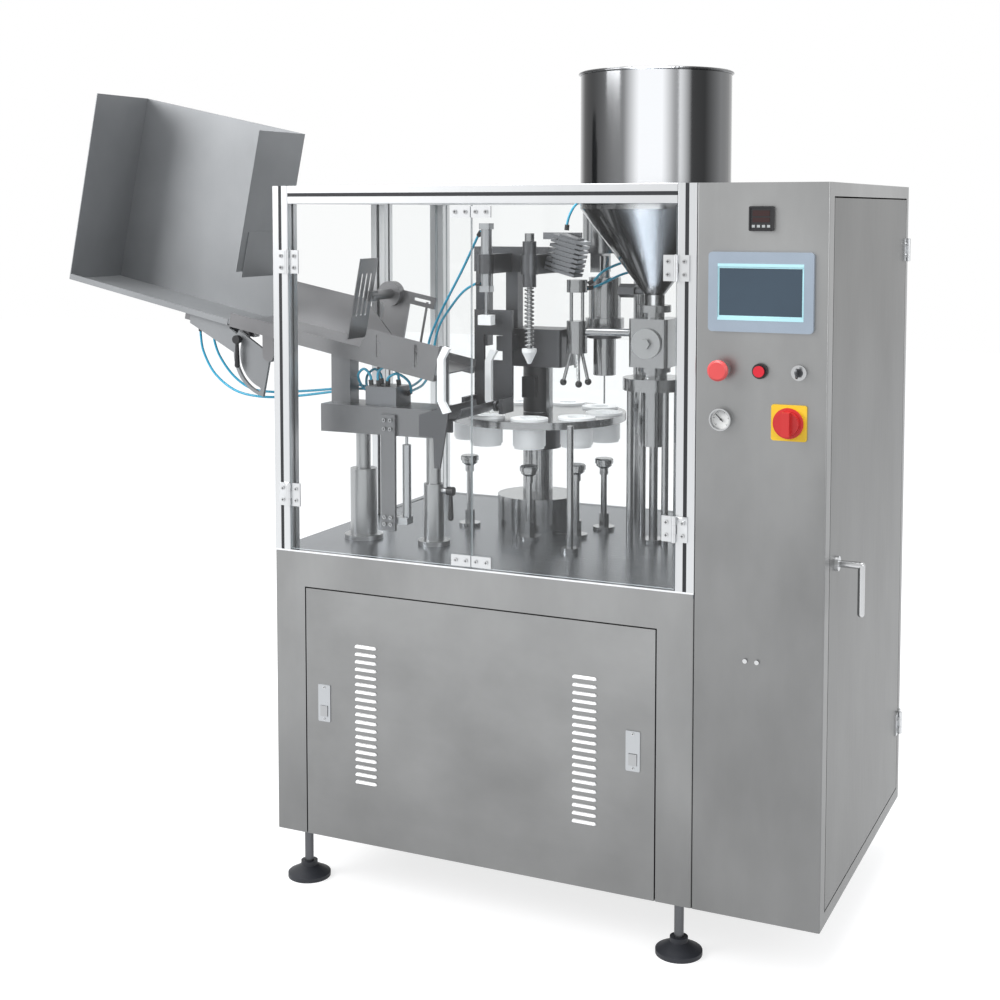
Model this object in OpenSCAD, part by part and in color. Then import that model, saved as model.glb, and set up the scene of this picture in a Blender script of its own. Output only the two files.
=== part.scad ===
// Rotary tube filling machine: cabinet, guard frame, tube magazine, turntable and filling group
// Sizes are in millimetres. x runs to the right, y to the back and z up from the floor.

/* [Cabinet] */
// Width of the base cabinet
base_w = 988; // [940:1:1100]
// Depth of the cabinet and the tower
base_d = 795; // [770:1:900]
// Height from the cabinet's underside to the top of the table
base_h = 648; // [600:1:700]
// Height of the cabinet's underside above the floor
foot_h = 128; // [110:1:160]
// Thickness of the cabinet sheet
sheet = 3; // [2:0.5:4]
// Radius of the upright edges of the cabinet
edge_r = 4; // [2:0.5:8]
// Thickness of the table plate
table_t = 12; // [8:1:20]
// Gap round the doors and the access panel
seam = 3; // [2:0.5:4]
// Width of a levelling pad
pad_d = 98; // [80:1:120]
// Height of a levelling pad
pad_h = 36; // [25:1:50]
// Diameter of a levelling stem
stem_d = 20; // [14:1:26]
// Distance of the feet from the cabinet's sides
foot_inset = 45; // [40:1:90]
// Distance of the feet from the cabinet's front and rear
foot_back = 60; // [50:1:90]

/* [Access panel] */
// Distance of the panel from the cabinet's sides
panel_inset = 80; // [60:1:120]
// Distance of the panel from the top of the table
panel_drop = 84; // [70:1:120]
// Number of louvres in a column
louvre_count = 19; // [8:1:22]
// Length of a louvre
louvre_w = 55; // [35:1:70]
// Spacing of the louvres
louvre_pitch = 17; // [15:0.5:20]
// How far a louvre stands proud
louvre_out = 6; // [4:0.5:6]
// Width of a flush latch
latch_w = 31; // [24:1:40]
// Height of a flush latch
latch_h = 84; // [60:1:100]

/* [Control tower] */
// Width of the control tower
tower_w = 262; // [240:1:320]
// Height of the control tower
tower_h = 1464; // [1420:1:1600]
// Width of the touch panel
hmi_w = 208; // [160:1:220]
// Height of the touch panel
hmi_h = 155; // [120:1:170]
// Width of the temperature controller
controller_w = 48; // [40:1:72]
// Diameter of the emergency stop head
estop_d = 41; // [36:1:45]
// Reach of the emergency stop in front of the tower
estop_out = 36; // [34:1:50]
// Diameter of the pressure gauge
gauge_d = 44; // [36:1:56]
// Width of the main switch plate
switch_w = 70; // [60:1:80]
// Sideways spacing of the buttons
button_pitch = 77; // [60:1:85]

/* [Guard frame] */
// Width of the aluminium profile
profile = 40; // [36:1:45]
// Mouth of the profile's slots
slot_w = 8; // [6:0.5:10]
// Place of the middle post behind the front
mid_post_y = 440; // [420:1:480]
// Thickness of the clear doors
door_t = 6; // [5:0.5:8]
// Height of a hinge
hinge_h = 52; // [40:1:60]
// Width of one hinge leaf
leaf_w = 27; // [24:1:30]
// Diameter of the hinge pins
hinge_pin_d = 5; // [4:0.5:5]

/* [Turntable] */
// Centre of the turntable from the cabinet's left side
turn_x = 434; // [425:1:450]
// Centre of the turntable from the cabinet's rear
turn_back = 307; // [300:1:330]
// Diameter of the turntable disc
disc_d = 424; // [416:1:430]
// Thickness of the turntable disc
disc_t = 17; // [12:1:20]
// Height of the disc's top above the table
disc_top = 278; // [270:1:285]
// Distance of the cups' flanges from the disc's edge
disc_edge = 3; // [2:0.5:6]
// Diameter of a cup's body
cup_d = 76; // [66:1:78]
// Diameter of a cup's flange
cup_flange_d = 88; // [82:1:92]
// Height of a cup
cup_h = 70; // [60:1:72]
// Bore of a cup
cup_bore = 44; // [30:1:54]
// Diameter of the centre column
column_d = 72; // [64:1:80]

/* [Tube magazine] */
// Slope of the chute
chute_tilt = 11; // [9:0.5:12]
// Slope of the magazine
bin_tilt = 12; // [10.5:0.5:13]
// Inside length of the magazine
bin_l = 486; // [440:1:500]
// Height of the magazine
bin_h = 470; // [400:1:490]
// Width of the chute across the tubes
chute_w = 205; // [190:1:206]
// Length of the chute
chute_l = 560; // [540:1:561]
// Height of the chute's outlet gate
gate_h = 130; // [115:1:150]

/* [Filling group] */
// Radius of the hopper
hopper_r = 170; // [150:1:180]
// Height of the hopper's round part
hopper_h = 307; // [250:1:340]
// Height of the hopper's cone
cone_h = 195; // [180:1:200]
// Wall of the hopper
hopper_wall = 2; // [1.5:0.5:3]
// Outer diameter of the piston cylinder
pump_d = 64; // [56:1:70]
// Diameter of the piston
piston_d = 52; // [44:1:54]
// Diameter of a tie rod
tie_d = 16; // [12:1:18]

/* [Hidden] */
$fn = 64;
// Running clearance of shafts, flat clearance of moving faces and overshoot of cuts
fit = 0.08;
air = 0.4;
cut = 1;

// Heights and edges of the cabinet, the table and the tower
zt = foot_h + base_h;
frame_h = tower_h - base_h;
tower_x = base_w;
right_x = base_w + tower_w;
tower_mid = tower_x + tower_w / 2;
tower_top = foot_h + tower_h;

// Access panel
panel_x = panel_inset;
panel_w = base_w - 2 * panel_inset;
panel_z = foot_h;
panel_h = base_h - panel_drop;
panel_t = 2;
panel_fold = 16;
stop_w = 14;
louvre_inset = 126;
louvre_drop = 120;
louvre_slot = 5;
latch_inset = 31;
latch_rise = 277;
latch_lip = 2;
latch_key_w = 18;
latch_key_h = 24;
latch_travel = 3;

// Tower fittings, measured down from the tower's top
controller_drop = 70;
hmi_drop = 212;
button_drop = 365;
gauge_drop = 463;
bolt_drop = 940;
bolt_gap = 24;
bolt_d = 9;
hmi_t = 9;
hmi_r = 8;
screen_w = 170;
screen_h = 98;
screen_deep = 2;
controller_t = 10;
collar_d = 30;
collar_t = 8;
stem_r = 8;
block_w = 30;
block_l = 42;
estop_head_t = 14;
estop_travel = 5;
button_d = 22;
button_out = 15;
button_travel = 4;
key_d = 16;
key_out = 10;
gauge_t = 14;
gauge_wall = 2.5;
needle_l = 15;
needle_t = 0.8;
switch_x = 58;
switch_t = 4;
switch_ring_d = 58;
switch_ring_t = 9;
knob_d = 46;
knob_t = 12;
knob_grip = 16;
knob_out = 34;

// Tower door and its handle
door_y = 41;
door_rear = 30;
door_z = 30;
door_fold = 20;
handle_y = 96;
handle_z = 714;
handle_out = 50;
handle_l = 96;
handle_r = 7;
tower_hinge_low = 190;
tower_hinge_drop = 146;

// Hinges and the joints of the frame bars
bar_gap = 0.2;
leaf_t = 3;
knuckle_r = 5;
pin_gap = 1;
knuckle_gap = 0.3;
hinge_low = 126;
hinge_top_drop = 168;
door_gap = 2;
door_lift = 3;
catch_w = 46;
catch_h = 24;

// Stations on the turntable, counted anticlockwise from the first one
turn_y = base_d - turn_back;
pitch_r = disc_d / 2 - cup_flange_d / 2 - disc_edge;
stations = 9;
first_angle = 6.6;
function station(k) = [
  turn_x + pitch_r * cos(first_angle + k * 360 / stations),
  turn_y + pitch_r * sin(first_angle + k * 360 / stations)
];
heat = station(0);
eject = station(5);
seal = station(1);
load = station(6);
press = station(7);
fill = station(8);
drum_d = 194;
drum_h = 78;
core_d = 56;
hub_d = 112;
hub_low = 192;
socket_deep = 30;
sensor = [33, 26, 50];
cup_rise = 5;
cup_floor = 12;
cup_pin_d = 12;
disc_low = disc_top - disc_t;
shoulder = disc_top + 2;

// Head casting on the column and the arms that it carries
head_w = 92;
head_l = 147;
head_x = turn_x - 69;
head_y = turn_y - 46;
head_low = disc_top + 112;
head_h = 90;
head_top = head_low + head_h;
arm_low = head_low + 225;
arm_h = 60;
arm_d = 42;
arm_x = turn_x - 149;
arm_l = 265;
riser_w = 31;
boss_w = 30;
boss_drop = 15;
boss_d = 40;
spindle_d = 12;
bush_low = disc_top + 308;
bush_h = 105;
bush_d = 32;
cone_top = disc_top + 166;
cone_l = 35;
cone_r = 17;
spindle_travel = 25;
spring_r = 9.5;
spring_wire = 2;
spring_turns = 15;
press_d = 26;
press_low = disc_top + 294;
press_l = 160;
press_rod_d = 8;
press_stroke = 120;
pad_top = disc_top + 240;
pad_size = [33, 25, 23];
fins = 8;
fin_pitch = 11;
fin_size = [76, 56, 7];
fin_core = 46;
fin_tilt = 15;
fin_at = [turn_x + 113, head_y - 42];
fin_h = arm_low + 45;
bracket_w = 96;
bracket_t = 8;
bracket_bar = 16;
bracket_leg = 27;
bracket_top = arm_low + 95;
bracket_low = arm_low + 22;

// Heating and sealing units
heat_flange_r = 46;
heat_low_r = 27;
heat_top_r = 38;
heat_neck_r = 12;
heat_tip_r = 2;
heat_flange_t = 24;
heat_flange_h = head_low + 94;
heat_foot = disc_top + 94;
heat_tip = disc_top + 25;
heat_body_h = 96;
heat_neck_h = 50;
seal_r = 44;
seal_low = disc_top + 380;
seal_h = 130;
seal_post = [turn_x + 186, turn_y + 202];
seal_post_r = 16;
jaw_w = 30;
jaw_h = 46;

// Filling group, with its axis to the right of the turntable
fill_x = turn_x + 318;
fill_y = turn_y - 64;
tie_pitch = 42;
pump_low = 224;
pump_h = 129;
plate_r = 72;
plate_t = 28;
plate_low = pump_low + pump_h;
plate_top = plate_low + plate_t;
valve_w = 92;
valve_d = 100;
valve_low = plate_top + 26;
valve_h = 110;
valve_top = valve_low + valve_h;
neck_r = 23;
ferrule_r = 32;
ferrule_t = 4;
joint_h = valve_top + 22;
clamp_r = 38;
clamp_lip = 4;
rotor_d = 48;
rotor_l = 78;
rotor_disc_d = 68;
rotor_disc_t = 9;
port_d = 36;
cone_low = joint_h + 31;
hopper_low = cone_low + cone_h;
rim_r = 4;
level_l = 76;
level_r = 16;
piston_h = 30;
piston_low = pump_low + 8;
piston_rod_d = 20;
piston_travel = 80;
rod_tail = 112;
nozzle_low = disc_top + 120;
nozzle_body_low = disc_top + 154;
nozzle_body_h = 75;
nozzle_r = 24;
nozzle_top_h = 66;
nozzle_cap_h = 29;
pipe_h = disc_top + 204;
pipe_r = 9;
nozzle_gap = 14;

// Table fittings and lifters
bush_flange_d = 52;
bush_flange_t = 8;
bush_nut_d = 26;
bush_nut_h = 32;
lifter_d = 15;
lifter_low = 80;
lifter_neck = 133;
lifter_top = 172;
lifter_head_d = 44;
lifter_travel = 38;
probe = [turn_x + 190, turn_y - 255];
probe_d = 15;
probe_h = 285;

// Platform under the chute
platform_x = 40;
platform_l = 290;
platform_y = turn_y - 354;
platform_d = 106;
platform_low = 252;
platform_h = 64;
platform_t = 8;
post_a = [123, platform_y + 52];
post_b = [305, platform_y + 56];
post_a_sleeve = 164;
post_b_sleeve = 140;
post_a_r = 31;
post_b_r = 23;
shaft_r = 17;
rest_x = 55;
rest_w = 50;
rest_d = 40;
hang_x = 203;
hang_w = 36;
hang_low = 35;
hang_high = 300;
hang_t = 8;
air_x = 256;
air_y = platform_y + 18;
air_r = 10;
air_low = 66;
air_l = 165;
air_rod = 66;
manifold = [80, 70, 44];
manifold_x = 150;
manifold_y = platform_y + 16;
lever_h = 125;
lever_r = 5;
lever_l = 62;
lever_hub = 12;

// Chute, with its own frame at the upper end of its floor
chute_x = -215;
chute_h = 500;
chute_y = platform_y + 6;
chute_t = 3;
chute_beam = 14;
chute_beam_w = 17;
chute_wall = 2;
chute_lip = 19;
chute_lip_l = 360;
chute_rear_h = 96;
chute_rear_l = 240;
chute_slope_l = 96;
guide_h = 66;
notch_l = 42;
gate_x = 309;
gate_w = 80;
gate_l = 190;
gate_y = chute_y + 65;
gate_lift = 24;
gate_t = 3;
rest_bar_l = 160;
rest_bar_w = 24;
rest_bar_y = chute_y + 44;

// Pivot of the magazine under the chute
pivot_x = chute_x + 100;
pivot_h = chute_h - 79;
pivot_r = 6;
lug_y = chute_y + 10;
lug_t = 8;
sector_y = chute_y + 20;
sector_t = 8;
sector_r = 104;
sector_slot_r = 91;
sector_slot = 11;
sector_from = 148;
sector_to = 258;
stud_angle = 158;
stud_end_angle = 248;
stud_r = 5;
stud_x = pivot_x + sector_slot_r * cos(stud_angle);
stud_h = pivot_h + sector_slot_r * sin(stud_angle);
stud_bracket_y = chute_y + 32;

// Magazine, with its own frame at the lower right end of its floor
bin_x = chute_x - 10;
bin_floor_h = chute_h - 11;
bin_wall = 2;
bin_lip = 14;
bin_y = chute_y + chute_wall + cut;
bin_w = chute_w - 2 * (chute_wall + cut);
bin_gate = [2, 150, 110];

// Loading station: trough that turns a tube upright over its cup
trough_r = 24;
trough_wall = 4;
trough_h = disc_top + 41;
trough_y = platform_y + 18;
pivot_lift = disc_top + 29.5;
trough_pivot_y = load[1] - (trough_h - pivot_lift);
trough_rear = trough_pivot_y + 3;
ear_w = 6;
ear_r = 13;
ear_pin_r = 5;
lug_gap = 9;
loader_y = load[1] + 36;
loader_t = 10;
loader_w = 98;
loader_low = disc_top + 12;
loader_top = disc_top + 250;
guide_t = 12;
guide_w = 16;
guide_bow = 14;
guide_l = 150;
blade_y = platform_y - 6;

// Inside the cabinet and the tower
index_share = 50 / 33;
index_box = [pitch_r * index_share, pitch_r * index_share, 180];
gearbox = [150, 170, 150];
motor_r = 75;
motor_l = 230;
motor_fin = 4;
tray_t = 3;
module_d = 70;

// Extents that put the origin under the middle of the machine
left_x = bin_x - bin_l * cos(bin_tilt);
far_x = right_x + handle_out + handle_r;
shift_x = -(left_x + far_x) / 2;
shift_y = -(base_d - estop_out) / 2;

// Air hoses: points chosen by hand, measured from the table's front left corner
hose_d = 6;
hose_sides = 8;
hose_steps = 3;
bin_hose_a = [
  [-340, 196, 480], [-340, 196, 455], [-330, 194, 415], [-295, 190, 365], [-235, 186, 328],
  [-165, 186, 316], [-90, 198, 318], [0, 214, 330], [70, 220, 342], [125, 208, 346], [149.2, 207, 346]
];
bin_hose_b = [
  [-300, 196, 472], [-300, 196, 445], [-286, 200, 405], [-250, 204, 360], [-200, 204, 332],
  [-140, 206, 326], [-70, 216, 330], [10, 230, 338], [75, 232, 350], [125, 217, 349], [149.2, 215, 349]
];
press_hose_a = [
  [354, 337, 712], [341, 345, 699], [288, 372, 621], [222, 392, 521], [188, 398, 455], [180, 392, 400],
  [184, 366, 362], [190, 310, 348], [192, 260, 346], [192, 236, 345], [192, 221, 345]
];
press_hose_b = [
  [354, 337, 590], [338, 341, 590], [300, 352, 570], [255, 374, 530], [216, 392, 484], [198, 398, 430],
  [196, 384, 378], [200, 340, 348], [206, 280, 340], [208, 240, 338], [208, 221, 338]
];
nozzle_hose_a = [
  [594.4, 410.4, 592], [606, 417, 600], [622, 440, 622], [650, 490, 640], [690, 545, 652],
  [760, 590, 655], [850, 610, 648], [930, 615, 640], [970, 615, 640], [987.9, 615, 640]
];
nozzle_hose_b = [
  [590.8, 415.4, 582], [601, 428, 584], [622, 460, 596], [648, 512, 614], [700, 575, 626],
  [780, 622, 626], [870, 640, 618], [940, 645, 612], [970, 645, 612], [987.9, 645, 612]
];
actuator_hose = [
  [545, 398, 716], [547, 398, 734], [553, 402, 756], [562, 420, 778], [572, 470, 790], [592, 540, 794],
  [640, 612, 786], [740, 650, 770], [860, 655, 750], [950, 655, 740], [987.9, 655, 740]
];
hose_up = [0, 1, 0];

// Shared shapes

// Puts the origin on the floor under the middle of the machine
module placed() {
  translate([shift_x, shift_y, 0])
    children();
}

// A point above the table
module above(p, h) {
  translate([p[0], p[1], zt + h])
    children();
}

// Local z points out of the front of the machine
module facing_front(x, z, y = 0) {
  translate([x, y, z])
    rotate([90, 0, 0])
      children();
}

// Local z points out of the right side
module facing_right(y, z, x = right_x) {
  translate([x, y, z])
    rotate([90, 0, 90])
      children();
}

// Local x runs down the chute, local z stands square to its floor
module on_chute() {
  translate([chute_x, 0, zt + chute_h])
    rotate([0, chute_tilt, 0])
      children();
}

// Local x runs down the magazine's floor to its outlet
module on_bin() {
  translate([bin_x, 0, zt + bin_floor_h])
    rotate([0, bin_tilt, 0])
      children();
}

// A plate drawn in x and z, with its thickness running back from y
module upright(y, t) {
  translate([0, y + t, zt])
    rotate([90, 0, 0])
      linear_extrude(t)
        children();
}

// Rectangle with round corners, standing on the origin
module rounded_outline(w, h, r) {
  translate([r, 0])
    square([w - 2 * r, h]);
  translate([0, r])
    square([w, h - 2 * r]);
  for (x = [r, w - r], y = [r, h - r])
    translate([x, y])
      circle(r);
}

// Same rectangle about the origin
module centred_outline(w, h, r) {
  translate([-w / 2, -h / 2])
    rounded_outline(w, h, r);
}

// Round tube about the z axis
module pipe(h, r, bore) {
  difference() {
    cylinder(h = h, r = r);
    translate([0, 0, -cut])
      cylinder(h = h + 2 * cut, r = bore);
  }
}

// Section of the slotted aluminium profile
module profile_section() {
  lip = 4;
  room_w = 16;
  room_d = 6;
  corner = 2;
  core = 7;
  difference() {
    rounded_outline(profile, profile, corner);
    for (turn = [0:90:270])
      translate([profile / 2, profile / 2])
        rotate(turn)
          translate([0, profile / 2]) {
            translate([-slot_w / 2, -lip - cut])
              square([slot_w, lip + 2 * cut]);
            translate([-room_w / 2, -lip - room_d])
              square([room_w, room_d]);
          }
    translate([profile / 2, profile / 2])
      circle(d = core);
  }
}

// One hinge leaf: side is 1 or -1, and ends tells which knuckles it carries
module hinge_leaf(side, ends) {
  third = hinge_h / 3;
  axis_y = -(knuckle_r + pin_gap);
  knuckles = ends ? [[-hinge_h / 2, third - knuckle_gap], [third / 2 + knuckle_gap, third - knuckle_gap]]
          : [[-third / 2, third]];
  plate_in = knuckle_r + pin_gap;
  difference() {
    union() {
      translate([side > 0 ? plate_in : -leaf_w, -leaf_t, -hinge_h / 2])
        cube([leaf_w - plate_in, leaf_t, hinge_h]);
      for (k = knuckles)
        translate([0, axis_y, k[0]]) {
          cylinder(h = k[1], r = knuckle_r);
          translate([side > 0 ? 0 : -plate_in, knuckle_r + pin_gap - leaf_t, 0])
            cube([plate_in, leaf_t, k[1]]);
        }
    }
    translate([0, axis_y, -hinge_h])
      cylinder(h = 2 * hinge_h, r = hinge_pin_d / 2 + fit);
  }
}

// Pin through the knuckles of one hinge
module hinge_pin() {
  translate([0, -(knuckle_r + pin_gap), -hinge_h / 2 - cut])
    cylinder(h = hinge_h + 2 * cut, d = hinge_pin_d);
}

// Heights of the two hinges on a front door
module front_hinges(x) {
  for (z = [zt + hinge_low, tower_top - hinge_top_drop])
    translate([x, 0, z])
      children();
}

// Two hinges at the rear edge of the tower door
module tower_hinge_places() {
  for (z = [foot_h + tower_hinge_low, tower_top - tower_hinge_drop])
    translate([right_x, base_d - door_rear + seam / 2, z])
      rotate([0, 0, 90])
        children();
}

left_axis = profile + door_gap / 2;
right_axis = base_w - profile - door_gap / 2;

// Smooth route through hand-chosen points
function along(p, i, t) = let (
  a = p[max(i - 1, 0)],
  b = p[i],
  c = p[i + 1],
  d = p[min(i + 2, len(p) - 1)]
) 0.5 * (2 * b + (c - a) * t + (2 * a - 5 * b + 4 * c - d) * t * t + (3 * b - a - 3 * c + d) * t * t * t);
function route(p) = concat(
  [for (i = [0:len(p) - 2], s = [0:hose_steps - 1]) along(p, i, s / hose_steps)],
  [p[len(p) - 1]]
);
function unit(v) = v / norm(v);
function heading(p, i) = unit(p[min(i + 1, len(p) - 1)] - p[max(i - 1, 0)]);
function round_ring(centre, ahead, r, sides) = let (
  side = unit(cross(ahead, hose_up)),
  up = cross(side, ahead)
) [for (k = [0:sides - 1]) centre + r * (cos(k * 360 / sides) * side + sin(k * 360 / sides) * up)];

// Round tube swept along the rings of a path
module swept(path, r, sides) {
  rings = len(path);
  points = [for (i = [0:rings - 1]) each round_ring(path[i], heading(path, i), r, sides)];
  walls = [for (i = [0:rings - 2], k = [0:sides - 1]) [
    i * sides + k,
    i * sides + (k + 1) % sides,
    (i + 1) * sides + (k + 1) % sides,
    (i + 1) * sides + k
  ]];
  near = [for (k = [sides - 1:-1:0]) k];
  far = [for (k = [0:sides - 1]) (rings - 1) * sides + k];
  polyhedron(points = points, faces = concat([near], walls, [far]));
}

module hose(points) {
  translate([0, 0, zt])
    swept(route(points), hose_d / 2, hose_sides);
}

// Cabinet

// Folded frame round the front opening, with the stop that the access panel rests on
module panel_stop() {
  left = panel_x - seam - sheet;
  right = panel_x + panel_w + seam;
  top = panel_z + panel_h + seam;
  for (x = [left, right])
    translate([x, 0, panel_z])
      cube([sheet, panel_fold + sheet, top - panel_z]);
  translate([left, 0, top])
    cube([right - left + sheet, panel_fold + sheet, sheet]);
  for (x = [left, right + sheet - stop_w])
    translate([x, panel_fold, panel_z])
      cube([stop_w, sheet, top - panel_z + sheet]);
  translate([left, panel_fold, top + sheet - stop_w])
    cube([right - left + sheet, sheet, stop_w]);
}

module base_cabinet() {
  color("#8f918e") {
    difference() {
      translate([0, 0, foot_h])
        linear_extrude(base_h - table_t)
          rounded_outline(base_w, base_d, edge_r);
      translate([sheet, sheet, foot_h + sheet])
        cube([base_w - 2 * sheet, base_d - 2 * sheet, base_h]);
      translate([panel_x - seam, -cut, foot_h - cut])
        cube([panel_w + 2 * seam, sheet + cut, panel_h + seam + cut]);
    }
    panel_stop();
  }
}

module table_plate() {
  color("#9a9c9b")
    difference() {
      translate([0, 0, zt - table_t])
        linear_extrude(table_t)
          rounded_outline(base_w, base_d, edge_r);
      above([turn_x, turn_y], -table_t - cut)
        cylinder(h = table_t + 2 * cut, d = column_d + 2 * seam);
      for (p = [press, fill, heat, eject])
        above(p, -table_t - cut)
          cylinder(h = table_t + 2 * cut, d = lifter_d + seam);
      above([fill_x, fill_y], -table_t - cut)
        cylinder(h = table_t + 2 * cut, d = piston_rod_d + seam);
    }
}

foot_places = [for (x = [foot_inset, base_w - foot_inset], y = [foot_back, base_d - foot_back]) [x, y]];
nut_w = 34;
nut_h = 14;

module foot_stems() {
  color("#55565a")
    for (p = foot_places)
      translate([p[0], p[1], 0]) {
        translate([0, 0, pad_h])
          cylinder(h = foot_h - pad_h, d = stem_d);
        translate([0, 0, foot_h - nut_h])
          difference() {
            cylinder(h = nut_h, d = nut_w, $fn = 6);
            translate([0, 0, -cut])
              cylinder(h = nut_h + 2 * cut, d = stem_d + 2 * fit);
          }
      }
}

module foot_pads() {
  rim = 9;
  crown_d = 38;
  crown_low = 26;
  color("#26272b")
    for (p = foot_places)
      translate([p[0], p[1], 0])
        rotate_extrude()
          polygon([
            [0, 0], [pad_d / 2, 0], [pad_d / 2, rim], [pad_d / 2 - rim, rim + rim / 2],
            [crown_d / 2, crown_low], [crown_d / 2, pad_h], [0, pad_h]
          ]);
}

// One pressed louvre: a quarter-round hood with closed ends, open downwards
module louvre_hood() {
  $fn = 24;
  facing_front(0, 0)
    intersection() {
      union() {
        rotate([0, 90, 0])
          translate([0, 0, -louvre_w / 2 + louvre_out])
            cylinder(h = louvre_w - 2 * louvre_out, r = louvre_out);
        for (x = [louvre_out - louvre_w / 2, louvre_w / 2 - louvre_out])
          translate([x, 0, 0])
            sphere(r = louvre_out);
      }
      translate([-louvre_w / 2, 0, 0])
        cube([louvre_w, louvre_out, louvre_out]);
    }
}

module louvre_places() {
  top = panel_z + panel_h - louvre_drop;
  for (x = [panel_x + louvre_inset + louvre_w / 2, panel_x + panel_w - louvre_inset - louvre_w / 2])
    for (i = [0:louvre_count - 1])
      translate([x, 0, top - i * louvre_pitch])
        children();
}

latch_places = [panel_x + latch_inset, panel_x + panel_w - latch_inset - latch_w];

module access_panel() {
  hood_wall = 1;
  color("#92948f") {
    difference() {
      union() {
        translate([panel_x, 0, panel_z])
          cube([panel_w, panel_t, panel_h]);
        for (x = [panel_x, panel_x + panel_w - panel_t])
          translate([x, 0, panel_z + sheet + seam])
            cube([panel_t, panel_fold, panel_h - sheet - seam]);
        translate([panel_x, 0, panel_z + panel_h - panel_t])
          cube([panel_w, panel_fold, panel_t]);
        louvre_places()
          louvre_hood();
      }
      louvre_places()
        translate([hood_wall - louvre_w / 2 + louvre_out, -louvre_out + hood_wall, -cut])
          cube([louvre_w - 2 * louvre_out - 2 * hood_wall, louvre_out + panel_t, cut + louvre_slot / 2]);
      for (x = latch_places)
        translate([x + latch_w / 2 - latch_key_w / 2 - air, -cut, panel_z + latch_rise])
          cube([latch_key_w + 2 * air, panel_t + 2 * cut, latch_key_h + 2 * air]);
    }
    for (x = latch_places)
      facing_front(x, panel_z + latch_rise - latch_key_h / 2)
        linear_extrude(latch_lip)
          difference() {
            rounded_outline(latch_w, latch_h, latch_lip);
            translate([latch_w / 2 - latch_key_w / 2 - air, latch_key_h / 2])
              square([latch_key_w + 2 * air, latch_key_h + 2 * air]);
          }
  }
}

// Push piece of a flush latch, with the bolt behind the panel
module latch(x) {
  bolt_w = 34;
  bolt_t = 6;
  color("#c9cac8") {
    translate([x + latch_w / 2 - latch_key_w / 2, -latch_lip - latch_travel + cut, panel_z + latch_rise + air])
      cube([latch_key_w, latch_lip + latch_travel - cut + panel_t + seam, latch_key_h]);
    translate([x + latch_w / 2 - bolt_w / 2, panel_t + seam, panel_z + latch_rise])
      cube([bolt_w, bolt_t, latch_key_h]);
  }
}

module left_latch() {
  latch(latch_places[0]);
}

module right_latch() {
  latch(latch_places[1]);
}

// Control tower

module control_tower() {
  door_h = tower_h - 2 * door_z;
  color("#8b8d8a")
    difference() {
      translate([tower_x, 0, foot_h])
        linear_extrude(tower_h)
          rounded_outline(tower_w, base_d, edge_r);
      translate([tower_x + sheet, sheet, foot_h + sheet])
        cube([tower_w - 2 * sheet, base_d - 2 * sheet, tower_h - 2 * sheet]);
      translate([right_x - sheet - cut, door_y - seam, foot_h + door_z - seam])
        cube([sheet + 2 * cut, base_d - door_y - door_rear + 2 * seam, door_h + 2 * seam]);
      for (x = [-button_pitch, 0, button_pitch])
        facing_front(tower_mid + x, tower_top - button_drop, sheet + cut)
          cylinder(h = sheet + 2 * cut, r = stem_r + seam);
      facing_front(tower_mid + switch_x, tower_top - gauge_drop, sheet + cut)
        cylinder(h = sheet + 2 * cut, r = stem_r + seam);
    }
}

module tower_door() {
  door_w = base_d - door_y - door_rear;
  door_h = tower_h - 2 * door_z;
  color("#868885")
    translate([right_x, door_y, foot_h + door_z])
      difference() {
        translate([-door_fold, 0, 0])
          cube([door_fold, door_w, door_h]);
        translate([-door_fold - cut, panel_t, panel_t])
          cube([door_fold - panel_t + cut, door_w - 2 * panel_t, door_h - 2 * panel_t]);
        translate([-door_fold, handle_y - door_y, handle_z - door_z])
          rotate([0, 90, 0])
            cylinder(h = door_fold + cut, r = handle_r + fit);
      }
}

rose_r = 15;
rose_t = 6;

module tower_door_fittings() {
  color("#d4d5d4") {
    tower_hinge_places()
      hinge_leaf(-1, false);
    facing_right(handle_y, foot_h + handle_z)
      pipe(rose_t, rose_r, handle_r + fit);
  }
}

module tower_handle() {
  shank = 30;
  color("#d9dadb")
    facing_right(handle_y, foot_h + handle_z) {
      translate([0, 0, -shank])
        cylinder(h = shank + handle_out, r = handle_r);
      translate([0, 0, handle_out])
        sphere(r = handle_r);
      translate([0, 0, handle_out])
        rotate([90, 0, 0])
          cylinder(h = handle_l, r = handle_r);
      translate([0, -handle_l, handle_out])
        sphere(r = handle_r);
    }
}

module hmi_panel() {
  color("#b9c2c8")
    facing_front(tower_mid, tower_top - hmi_drop)
      difference() {
        linear_extrude(hmi_t)
          centred_outline(hmi_w, hmi_h, hmi_r);
        translate([-screen_w / 2, -screen_h / 2, hmi_t - screen_deep])
          cube([screen_w, screen_h, screen_deep + cut]);
      }
}

// Collar in front of the sheet with the contact block behind it
module button_base() {
  pipe(collar_t, collar_d / 2, stem_r + fit);
  translate([-block_w / 2, -block_w / 2, -sheet - block_l])
    difference() {
      cube([block_w, block_w, block_l]);
      translate([block_w / 2, block_w / 2, block_l / 2])
        cylinder(h = block_l, r = stem_r + fit);
    }
}

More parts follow.
